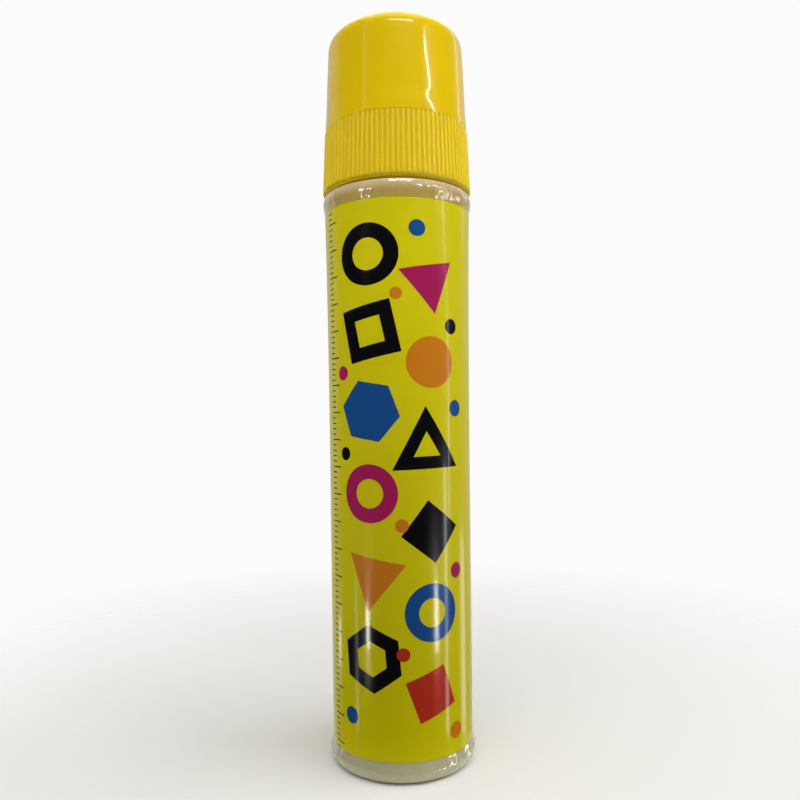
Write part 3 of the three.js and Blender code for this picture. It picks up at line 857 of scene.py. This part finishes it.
def grained_polypropylene(colour):
    """Polypropylene off a fine-grained mould: satin, duller in its grooves, with painted highlight on the rib
    crests and painted shade in the grooves.
    """
    material, tree, place = start_material("grained_polypropylene")
    crest = add_node(tree, "Attribute", {}, "Fac", attribute_name="crest")
    # The real grain is finer, and is drawn as coarse as it needs to show
    grain = add_node(tree, "TexNoise", {"Vector": place, "Scale": 1 / (0.18 * MM), "Detail": 3.0})
    # Painted light and shade: paler on the rib crests, darker in the grooves and off the ribs
    shade = varied(tree, crest, colour, 0.92, 1.05)
    return finish_material(material, tree, shade, (crest, 0.46, 0.34), (grain, 0.006 * MM), {
        "IOR": 1.49,
        "Specular IOR Level": 0.35,
        "Subsurface Weight": 0.5,
        "Subsurface Radius": (1.0, 0.9, 0.2),
        "Subsurface Scale": 1.6 * MM,
    })


def blown_polyethylene(colours):
    """Blown natural polyethylene: milky, glossy and wrinkled.

    Its shoulder is painted browner up the panel, as painted yellow light from the label and the collar and
    painted shade under the collar, and paler near its top, as painted light where it faces up.
    """
    material, tree, place = start_material("blown_polyethylene")
    cloud = add_node(tree, "TexNoise", {"Vector": place, "Scale": 1 / (6 * MM)})
    wrinkle = add_node(tree, "TexNoise", {"Vector": place, "Scale": 1 / (1.1 * MM), "Detail": 3.0})
    height = add_node(tree, "SeparateXYZ", {"Vector": place}, "Z")
    # Painted light and shade: up the panel the colour turns from the bottle's to the shoulder's, as painted
    # yellow light from the label and the collar and painted shade under the collar
    bounce_and_shade_ramp = {"Value": height, "From Min": PANEL_LOW, "From Max": PANEL_TOP}
    # and near the top under the collar it turns paler, as painted light where the shoulder faces up
    top_light_low = LABEL_TOP + 1.2 * MM
    top_light_high = BARREL_HEIGHT - 0.5 * MM
    top_light_ramp = {"Value": height, "From Min": top_light_low, "From Max": top_light_high}
    tint = tuple(colours.bottle)
    for ramp, over in ((bounce_and_shade_ramp, colours.shoulder), (top_light_ramp, colours.shoulder_top_light)):
        layers = {0: add_node(tree, "MapRange", ramp), 6: tint, 7: tuple(over)}
        tint = add_node(tree, "Mix", layers, 2, data_type="RGBA")
    dimmed = {0: 1.0, 6: tint, 7: (0.84, 0.84, 0.84, 1)}
    dark = add_node(tree, "Mix", dimmed, 2, data_type="RGBA", blend_type="MULTIPLY")
    milky = add_node(tree, "Mix", {0: cloud, 6: dark, 7: tint}, 2, data_type="RGBA")
    return finish_material(material, tree, milky, (wrinkle, 0.05, 0.14), (wrinkle, 0.015 * MM), {
        "IOR": 1.51,
        "Specular IOR Level": 0.6,
        "Coat Weight": 0.9,
        "Coat Roughness": 0.03,
        "Subsurface Weight": 0.3,
        "Subsurface Radius": (1.0, 0.8, 0.45),
        "Subsurface Scale": 0.8 * MM,
    })


def moulded_polyethylene(colour):
    """Moulded natural polyethylene: waxy and satin."""
    material, tree, place = start_material("moulded_polyethylene")
    cloud = add_node(tree, "TexNoise", {"Vector": place, "Scale": 1 / (3 * MM)})
    grain = add_node(tree, "TexNoise", {"Vector": place, "Scale": 1 / (0.4 * MM)})
    shade = varied(tree, cloud, colour, 0.94, 1.03)
    return finish_material(material, tree, shade, (cloud, 0.36, 0.46), (grain, 0.01 * MM), {
        "IOR": 1.51,
        "Subsurface Weight": 0.3,
        "Subsurface Scale": 1.5 * MM,
    })


# Print on the label, in millimetres: across from the front, up, radius, sides (0 is round), turn in
# degrees, share of the radius that is left open in the middle, and ink. The back repeats it.
PRINTED_SHAPES = (
    (-5.4, 93.2, 5.6, 0, 0, 0.52, "black"),
    (5.6, 88.2, 5.9, 3, 100, 0, "magenta"),
    (-5.2, 79.4, 6.8, 4, 12, 0.5, "black"),
    (5.8, 73.8, 4.6, 0, 0, 0, "orange"),
    (-5.6, 65.2, 5.8, 6, 20, 0, "blue"),
    (4.9, 58.6, 7.4, 3, 32, 0.4, "black"),
    (-5.6, 50.6, 5.2, 0, 0, 0.5, "magenta"),
    (5.6, 43.8, 5.6, 4, 52, 0, "black"),
    (-5.0, 36.0, 6.3, 3, 80, 0, "orange"),
    (5.6, 29.6, 5.1, 0, 0, 0.5, "blue"),
    (-5.6, 21.6, 6.0, 6, 5, 0.52, "black"),
    (5.4, 15.4, 5.4, 4, 20, 0, "red"),
    (-10.0, 11.0, 1.5, 0, 0, 0, "blue"),
    (3.4, 97.6, 1.5, 0, 0, 0, "blue"),
    (-0.4, 86.0, 1.1, 0, 0, 0, "orange"),
    (10.2, 80.4, 1.4, 0, 0, 0, "black"),
    (-11.2, 72.2, 1.3, 0, 0, 0, "magenta"),
    (11.2, 65.6, 1.5, 0, 0, 0, "blue"),
    (-10.8, 57.6, 1.2, 0, 0, 0, "black"),
    (0.2, 45.0, 1.2, 0, 0, 0, "orange"),
    (11.0, 36.4, 1.4, 0, 0, 0, "magenta"),
    (0.2, 22.6, 1.2, 0, 0, 0, "red"),
    (10.6, 8.0, 1.5, 0, 0, 0, "orange"),
)
# The ruler down the edge of the print
RULER_PLACE = -15.4
RULER_MARK = 1.5
RULER_STEP = 1.0
RULER_LONG_STEP = 5.0
RULER_LINE = 0.24


def add_chain(tree, steps):
    """Adds Math nodes, each an operation and its inputs, where None stands for the step before."""
    result = None
    for operation, *values in steps:
        inputs = {key: result if value is None else value for key, value in enumerate(values)}
        result = add_node(tree, "Math", inputs, operation=operation)
    return result


def printed_shape(tree, spot, across, up, radius, sides, turn, hole):
    """1 on a printed disc, ring or regular polygon, and 0 elsewhere.

    In units of its radius, the reach of a disc is the distance from its middle. That of a polygon
    is the distance times the cosine of the angle to the middle of the nearest side, over the cosine
    of half a side's angle. The print is where the reach lies between the hole and 1.
    """
    mapping = {
        "Vector": spot,
        "Location": (across * MM, up * MM, 0),
        "Rotation": (0, 0, math.radians(turn)),
        "Scale": (radius * MM, radius * MM, 1),
    }
    local = add_node(tree, "Mapping", mapping, vector_type="TEXTURE")
    reach = add_node(tree, "VectorMath", {0: local}, "Value", operation="LENGTH")
    if sides:
        sideways = add_node(tree, "SeparateXYZ", {"Vector": local}, "X")
        upwards = add_node(tree, "SeparateXYZ", {"Vector": local}, "Y")
        half_side = math.pi / sides
        reach = add_chain(tree, [
            ("ARCTAN2", upwards, sideways),
            ("PINGPONG", None, half_side),
            ("COSINE", None),
            ("MULTIPLY", None, reach),
            ("DIVIDE", None, math.cos(half_side)),
        ])
    if not hole:
        return add_chain(tree, [("LESS_THAN", reach, 1.0)])
    return add_chain(tree, [
        ("SUBTRACT", reach, (1 + hole) / 2),
        ("ABSOLUTE", None),
        ("LESS_THAN", None, (1 - hole) / 2),
    ])


def printed_film(colours):
    """Printed polypropylene film under varnish: flat inks on yellow, hard gloss, slight tension waves."""
    material, tree, place = start_material("printed_film")
    flat = add_node(tree, "Attribute", {}, "Vector", attribute_name="flat_film")
    up = add_node(tree, "SeparateXYZ", {"Vector": flat}, "Y")
    round_film = add_node(tree, "SeparateXYZ", {"Vector": flat}, "X")
    half = math.pi / 2 * panel_radius((LABEL_LOW + LABEL_TOP) / 2)
    across = add_chain(tree, [("WRAP", round_film, half, -half)])
    spot = add_node(tree, "CombineXYZ", {"X": across, "Y": up})
    cloud = add_node(tree, "TexNoise", {"Vector": place, "Scale": 1 / (9 * MM)})
    colour = varied(tree, cloud, colours.film, 0.97, 1.03)
    for *shape, ink in PRINTED_SHAPES:
        inked = {0: printed_shape(tree, spot, *shape), 6: colour, 7: tuple(getattr(colours, ink))}
        colour = add_node(tree, "Mix", inked, 2, data_type="RGBA")
    on_long = add_chain(tree, [("WRAP", up, RULER_LONG_STEP * MM, 0.0), ("LESS_THAN", None, RULER_LINE * MM)])
    on_mark = add_chain(tree, [("WRAP", up, RULER_STEP * MM, 0.0), ("LESS_THAN", None, RULER_LINE * MM)])
    mark_end = add_chain(tree, [("MULTIPLY_ADD", on_long, RULER_MARK * MM, (RULER_PLACE + RULER_MARK) * MM)])
    past_start = add_chain(tree, [("GREATER_THAN", across, RULER_PLACE * MM)])
    on_ruler = add_chain(tree, [
        ("LESS_THAN", across, mark_end),
        ("MULTIPLY", None, past_start),
        ("MULTIPLY", None, on_mark),
    ])
    ruled = {0: on_ruler, 6: colour, 7: tuple(colours.black)}
    colour = add_node(tree, "Mix", ruled, 2, data_type="RGBA")
    tension = add_node(tree, "TexNoise", {"Vector": place, "Scale": 1 / (7 * MM)})
    haze = add_node(tree, "TexNoise", {"Vector": place, "Scale": 1 / (1.5 * MM)})
    return finish_material(material, tree, colour, (haze, 0.2, 0.27), (tension, 0.03 * MM), {
        "IOR": 1.49,
        "Specular IOR Level": 0.15,
        "Coat Weight": 0.18,
        "Coat Roughness": 0.05,
    })


def clear_glue(colour):
    """Clear liquid adhesive: water-like gloss, slightly milky."""
    material, tree, place = start_material("clear_glue")
    cloud = add_node(tree, "TexNoise", {"Vector": place, "Scale": 1 / (8 * MM)})
    shade = varied(tree, cloud, colour, 0.97, 1.02)
    return finish_material(material, tree, shade, (cloud, 0.04, 0.08), None, {
        "IOR": 1.38,
        "Transmission Weight": 0.2,
        "Subsurface Weight": 0.4,
        "Subsurface Scale": 4 * MM,
    })


def foamed_rubber(colour):
    """Foamed rubber: matte, with fine cells, with painted shade in their dimples."""
    material, tree, place = start_material("foamed_rubber")
    cells = add_node(tree, "TexVoronoi", {"Vector": place, "Scale": 1 / (0.3 * MM)})
    # Painted shade: darker towards the middle of each cell, where its dimple is deepest
    shade = varied(tree, cells, colour, 0.85, 1.05)
    return finish_material(material, tree, shade, (cells, 0.65, 0.85), (cells, 0.05 * MM), {
        "IOR": 1.5,
        "Specular IOR Level": 0.3,
    })


def open_cell_foam(colour):
    """Open-cell polyurethane foam: matte, pitted by half-millimetre cells, with painted shade inside them."""
    material, tree, place = start_material("open_cell_foam")
    cells = add_node(tree, "TexVoronoi", {"Vector": place, "Scale": 1 / (0.55 * MM)})
    # Painted shade: darker towards the middle of each cell, where its pit is deepest
    shade = varied(tree, cells, colour, 0.72, 1.05)
    return finish_material(material, tree, shade, (cells, 0.95, 0.8), (cells, 0.25 * MM), {
        "IOR": 1.5,
        "Specular IOR Level": 0.2,
        "Subsurface Weight": 0.2,
        "Subsurface Scale": 0.8 * MM,
    })


def nylon_thread(colour):
    """Nylon monofilament: smooth, slightly glossy and cloudy."""
    material, tree, place = start_material("nylon_thread")
    streak = add_node(tree, "TexNoise", {"Vector": place, "Scale": 1 / (0.5 * MM)})
    shade = varied(tree, streak, colour, 0.9, 1.02)
    return finish_material(material, tree, shade, (streak, 0.3, 0.42), None, {
        "IOR": 1.53,
        "Subsurface Weight": 0.25,
        "Subsurface Scale": 0.3 * MM,
    })


# Operators


class PenOperator:
    """What the operators share."""

    bl_options = {"REGISTER", "UNDO"}


class GLUEPEN_OT_bottle(PenOperator, bpy.types.Operator):
    """Make the blown squeeze bottle"""

    bl_idname = "glue_pen.bottle"
    bl_label = "Bottle"

    def execute(self, context):
        material = blown_polyethylene(context.scene.pen_colours)
        surface = bottle_surface(context.scene.pen_sizes)
        add_piece("squeeze_bottle", surface, material, "bottle", ["bottle"])
        return {"FINISHED"}


class GLUEPEN_OT_label(PenOperator, bpy.types.Operator):
    """Wrap the printed label round the bottle"""

    bl_idname = "glue_pen.label"
    bl_label = "Label"

    def execute(self, context):
        surface, flat = label_surface(context.scene.pen_sizes)
        material = printed_film(context.scene.pen_colours)
        piece = add_piece("wrap_label", surface, material, "bottle", ["label"])
        place = piece.data.attributes.new("flat_film", "FLOAT_VECTOR", "POINT")
        place.data.foreach_set("vector", flat.astype(np.float32).ravel())
        return {"FINISHED"}


class GLUEPEN_OT_glue(PenOperator, bpy.types.Operator):
    """Fill the bottle"""

    bl_idname = "glue_pen.glue"
    bl_label = "Glue"

    def execute(self, context):
        material = clear_glue(tuple(context.scene.pen_colours.glue))
        surface = glue_surface(context.scene.pen_sizes)
        add_piece("liquid_glue", surface, material, "bottle", ["glue_fill"])
        return {"FINISHED"}


class GLUEPEN_OT_seat(PenOperator, bpy.types.Operator):
    """Make the gasket and finish the holder that carry the sponge"""

    bl_idname = "glue_pen.seat"
    bl_label = "Gasket and holder"

    def execute(self, context):
        colours = context.scene.pen_colours
        material = foamed_rubber(tuple(colours.gasket))
        add_piece("soft_gasket", gasket_surface(), material, "tip", ["neck_gasket"])
        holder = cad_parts["sponge_holder"]
        holder.data.materials.clear()
        holder.data.materials.append(moulded_polyethylene(tuple(colours.holder)))
        return {"FINISHED"}


class GLUEPEN_OT_sponge(PenOperator, bpy.types.Operator):
    """Make the foam dome and the net over it"""

    bl_idname = "glue_pen.sponge"
    bl_label = "Sponge and net"

    def execute(self, context):
        colours = context.scene.pen_colours
        foam = open_cell_foam(tuple(colours.foam))
        sponge = add_piece("foam_sponge", sponge_surface(), foam, "tip", ["sponge"])
        nylon = nylon_thread(tuple(colours.nylon))
        surface = net_surface(context.scene.pen_sizes)
        add_piece("nylon_net", surface, nylon, "tip", ["mesh_cover"])
        return {"FINISHED"}


class GLUEPEN_OT_collar(PenOperator, bpy.types.Operator):
    """Make the ribbed screw collar"""

    bl_idname = "glue_pen.collar"
    bl_label = "Collar"

    def execute(self, context):
        material = grained_polypropylene(tuple(context.scene.pen_colours.collar))
        surface, crest = collar_surface(context.scene.pen_sizes)
        piece = add_piece("ribbed_collar", surface, material, "collar", ["screw_collar"])
        # The crest share also paints the ribs' light and shade into the collar's colour
        crest_layer = piece.data.attributes.new("crest", "FLOAT", "POINT")
        crest_layer.data.foreach_set("value", crest.astype(np.float32))
        return {"FINISHED"}


class GLUEPEN_OT_cap(PenOperator, bpy.types.Operator):
    """Make the glossy dome cap"""

    bl_idname = "glue_pen.cap"
    bl_label = "Cap"

    def execute(self, context):
        material = polished_polypropylene(tuple(context.scene.pen_colours.cap))
        surface = cap_surface(context.scene.pen_sizes)
        add_piece("dome_cap", surface, material, "cap", ["cap"])
        return {"FINISHED"}


# Stage: a pale floor, panels that shade the pen and don't show in its gloss, and strips that show only
# there. Some strips are small lamps behind a grid, whose narrow spread keeps each to one sparkle on the
# shoulder or streak on the label. Those below the floor's level are seen through it, because away from
# the foot it is clear to gloss.
FLOOR_RADIUS = 0.22
FLOOR_RINGS = 40
FADE_START = 30 * MM
FADE_END = 0.9 * FLOOR_RADIUS
CONTACT_RADIUS = 20 * MM  # round the foot, where the floor shows in gloss
CONTACT_INNER = 0.8 * CONTACT_RADIUS  # the floor sheds all its light up to here
CONTACT_OUTER = 1.3 * CONTACT_RADIUS  # and only the bounce from here on
WHITE = 0.97  # brightness of the background
BACKDROP_SIDE = (-0.08, 1, 0.35)  # behind and above the pen
BACKDROP_START = 0.25
BACKDROP_END = 0.75
# Place, target, width and height in metres, spread in degrees, power in watts
PANELS = {
    "overhead": ((0, -0.12, 0.33), (0, 0, 0.12), 0.3, 0.3, 180, 0.5),
    "right_high": ((0.5, -0.1, 0.6), (0, 0, 0.09), 0.5, 0.4, 180, 1.31),
    "right_side": ((0.5, 0.1, 0.15), (0, 0, 0.09), 0.3, 0.4, 180, 0.54),
    "right_front": ((2.1, -0.5, 0.63), (2.1, 0, 0.1), 3.0, 0.03, 180, 3.25),
    "left_low": ((-0.2, 0.06, 0.02), (0, 0, 0.02), 0.1, 0.06, 180, 0.095),
    "label_middle": ((0, -0.5, 0.07), (0, 0, 0.075), 0.05, 0.05, 10, 0.0007),
    "collar_foot": ((0, -0.15, 0.02), (0, 0, 0.112), 0.04, 0.04, 25, 0.001),
}
STRIPS = {
    "tube_right": ((2.1, -0.5, 0.63), (2.1, 0, 0.1), 3.0, 0.03, 180, 9.0),
    "tube_middle": ((0.11, -0.5, 0.63), (0.11, 0, 0.1), 0.4, 0.1, 180, 1.5),
    "ceiling": ((0, 0.3, 0.75), (0, 0.3, 0), 0.6, 1.0, 180, 2.2),
    "strip_left": ((-0.39, -0.31, 0.375), (0, 0, 0.12), 0.03, 0.3, 180, 0.03),
    "strip_right": ((0.405, 0.295, 0.365), (0, 0, 0.12), 0.02, 0.3, 180, 0.06),
    "wall_right": ((0.47, 0.17, 0.08), (0, 0, 0.08), 0.26, 0.2, 180, 0.025),
    "edge_right": ((0.8, -0.07, 0.06), (0, 0, 0.06), 0.035, 0.25, 180, 0.33),
    "spark_left": ((-0.099, -0.088, 0.111), (-0.006, -0.0125, 0.1047), 0.035, 0.015, 12, 0.00015),
    "spark_front": ((0.07, -0.105, 0.146), (0.0052, -0.013, 0.1053), 0.014, 0.014, 12, 0.00005),
    "spark_right": ((0.117, -0.061, 0.109), (0.0073, -0.012, 0.1045), 0.018, 0.016, 12, 0.000032),
    "spark_side": ((0.13, -0.006, 0.107), (0.0098, -0.01, 0.1045), 0.016, 0.016, 12, 0.000024),
    "spark_edge": ((0.128, 0.024, 0.107), (0.0118, -0.0075, 0.1048), 0.016, 0.012, 12, 0.000014),
    "low_left": ((-0.246, -0.172, -0.057), (-0.006, -0.012, 0.028), 0.037, 0.0225, 15, 0.00104),
    "low_right": ((0.249, -0.168, -0.051), (0.006, -0.012, 0.028), 0.05, 0.04, 12, 0.0014),
    "line_right": ((0.574, -0.146, -0.113), (0, 0, 0.032), 0.063, 0.258, 180, 0.58),
    "line_left": ((-0.567, -0.128, -0.163), (0, 0, 0.022), 0.057, 0.139, 180, 0.1),
    "far_left": ((-0.256, 0.143, -0.064), (-0.0113, -0.007, 0.0235), 0.09, 0.0275, 12, 0.00023),
    "far_right": ((0.522, 0.257, -0.143), (0, 0, 0.025), 0.134, 0.186, 180, 0.31),
}


def add_light(name, place, target, width, height, spread, power):
    """A rectangular light turned to a target, with its width level."""
    light = bpy.data.lights.new(name, "AREA")
    light.shape = "RECTANGLE"
    light.size = width
    light.size_y = height
    light.spread = math.radians(spread)
    light.energy = power
    lamp = bpy.data.objects.new(name, light)
    lamp.location = place
    lamp.rotation_euler = (Vector(target) - Vector(place)).to_track_quat("-Z", "Y").to_euler()
    lamp.visible_camera = False
    bpy.context.scene.collection.objects.link(lamp)
    return lamp


def pale_paper(colour, bounce):
    """Pale matte paper that fades out at its rim, and away from the foot sheds less light than it shows."""
    material, tree, place = start_material("pale_paper")
    reach = add_node(tree, "VectorMath", {0: place}, "Value", operation="LENGTH")
    fade = {"Value": reach, "From Min": FADE_START, "From Max": FADE_END}
    gone = add_node(tree, "MapRange", fade, interpolation_type="SMOOTHSTEP")
    mirrored = add_node(tree, "LightPath", {}, "Is Glossy Ray")
    clear_share = add_chain(tree, [
        ("GREATER_THAN", reach, CONTACT_RADIUS),
        ("MULTIPLY", None, mirrored),
        ("MAXIMUM", None, gone),
    ])
    seen = add_node(tree, "LightPath", {}, "Is Camera Ray")
    under = {"Value": reach, "From Min": CONTACT_OUTER, "From Max": CONTACT_INNER}
    full = add_chain(tree, [("MAXIMUM", add_node(tree, "MapRange", under), seen)])
    shade = add_node(tree, "Mix", {0: full, 6: tinted(colour, bounce), 7: colour}, 2, data_type="RGBA")
    paper = add_node(tree, "BsdfDiffuse", {"Color": shade})
    clear = add_node(tree, "BsdfTransparent", {})
    surface = add_node(tree, "MixShader", {0: clear_share, 1: paper, 2: clear})
    add_node(tree, "OutputMaterial", {"Surface": surface})
    return material


def studio_world(glow, ambient):
    """White to the eye, dim to the pen's soft shading, and a pale backdrop behind it to its gloss.

    The backdrop brightens from the pen's sides to behind and above it as a smooth step.
    """
    world = bpy.data.worlds.new("studio")
    world.use_nodes = True
    tree = world.node_tree
    tree.nodes.clear()
    direction = add_node(tree, "TexCoord", {}, "Generated")
    lean = add_node(tree, "VectorMath", {0: direction, 1: BACKDROP_SIDE}, "Value", operation="DOT_PRODUCT")
    rise = {"Value": lean, "From Min": BACKDROP_START, "From Max": BACKDROP_END, "To Max": glow}
    backdrop = add_node(tree, "MapRange", rise, interpolation_type="SMOOTHSTEP")
    mirrored = add_node(tree, "LightPath", {}, "Is Glossy Ray")
    seen = add_node(tree, "LightPath", {}, "Is Camera Ray")
    reflected = add_node(tree, "Mix", {0: mirrored, 2: ambient, 3: backdrop})
    strength = add_node(tree, "Mix", {0: seen, 2: reflected, 3: WHITE})
    white = add_node(tree, "Background", {"Color": (1, 1, 1, 1), "Strength": strength})
    add_node(tree, "OutputWorld", {"Surface": white})
    return world


def add_floor(colour, bounce):
    """A flat disc round the origin, as rings of points about its middle."""
    columns = ROUND_COLUMNS // 2
    angles = even_angles(columns)
    across = np.linspace(0, FLOOR_RADIUS, FLOOR_RINGS + 1)[1:, None]
    level = np.zeros((FLOOR_RINGS, columns))
    grid = np.stack([across * np.cos(angles), across * np.sin(angles), level], axis=-1)
    column = np.arange(columns)
    fan = np.stack([np.full(columns, FLOOR_RINGS * columns), column, np.roll(column, -1)], axis=1)
    points = np.concatenate([grid.reshape(-1, 3), np.zeros((1, 3))])
    faces = grid_quads(FLOOR_RINGS, columns, False, True)[:, ::-1]
    mesh = bpy.data.meshes.new("floor")
    mesh.from_pydata(points.tolist(), [], faces.tolist() + fan.tolist())
    mesh.materials.append(pale_paper(colour, bounce))
    floor = bpy.data.objects.new("floor", mesh)
    bpy.context.scene.collection.objects.link(floor)


class GLUEPEN_OT_stage(PenOperator, bpy.types.Operator):
    """Set the floor, the lights and the camera"""

    bl_idname = "glue_pen.stage"
    bl_label = "Stage"

    def execute(self, context):
        scene = context.scene
        stage = scene.pen_stage
        add_floor(tuple(scene.pen_colours.floor), stage.bounce)
        for lights in (PANELS, STRIPS):
            for name, (*shape, power) in lights.items():
                lamp = add_light(name, *shape, power * stage.light)
                lamp.visible_glossy = lights is STRIPS
                lamp.visible_diffuse = lights is PANELS
                # A panel that gloss samples would lay a white haze on the cap
                lamp.data.cycles.use_multiple_importance_sampling = lights is STRIPS
        scene.world = studio_world(stage.glow, stage.ambient)
        scene.view_settings.view_transform = "Standard"
        camera = bpy.data.cameras.new("camera")
        camera.lens = stage.lens
        camera.clip_start = 1 * MM
        viewer = bpy.data.objects.new("camera", camera)
        viewer.location = (0, -stage.distance, stage.height)
        aim = Euler((math.pi / 2 + stage.pitch, 0, stage.yaw)).to_matrix()
        viewer.rotation_euler = (aim @ Matrix.Rotation(stage.roll, 3, "Z")).to_euler()
        scene.collection.objects.link(viewer)
        scene.camera = viewer
        return {"FINISHED"}


class GLUEPEN_PT_sidebar(bpy.types.Panel):
    """Lists the pen's pieces, sizes and colours"""

    bl_idname = "GLUEPEN_PT_sidebar"
    bl_label = "Liquid glue pen"
    bl_space_type = "VIEW_3D"
    bl_region_type = "UI"
    bl_category = "Glue pen"

    def draw(self, context):
        for operator in OPERATORS:
            self.layout.operator(operator.bl_idname)
        for group in (context.scene.pen_sizes, context.scene.pen_colours, context.scene.pen_stage):
            box = self.layout.box()
            for name in group.__annotations__:
                box.prop(group, name)


OPERATORS = (
    GLUEPEN_OT_bottle,
    GLUEPEN_OT_label,
    GLUEPEN_OT_glue,
    GLUEPEN_OT_seat,
    GLUEPEN_OT_sponge,
    GLUEPEN_OT_collar,
    GLUEPEN_OT_cap,
    GLUEPEN_OT_stage,
)
GROUPS = {"pen_sizes": PenSizes, "pen_colours": PenColours, "pen_stage": StageSettings}


def register():
    for kind in (*GROUPS.values(), *OPERATORS, GLUEPEN_PT_sidebar):
        bpy.utils.register_class(kind)
    for name, group in GROUPS.items():
        setattr(bpy.types.Scene, name, PointerProperty(type=group))


def unregister():
    for name in GROUPS:
        delattr(bpy.types.Scene, name)
    for kind in (GLUEPEN_PT_sidebar, *reversed(OPERATORS), *GROUPS.values()):
        bpy.utils.unregister_class(kind)


def main():
    """Builds the pen and the stage."""
    register()
    bpy.ops.glue_pen.bottle()
    bpy.ops.glue_pen.label()
    bpy.ops.glue_pen.glue()
    bpy.ops.glue_pen.seat()
    bpy.ops.glue_pen.sponge()
    bpy.ops.glue_pen.collar()
    bpy.ops.glue_pen.cap()
    bpy.ops.glue_pen.stage()


if __name__ == "__main__":
    main()
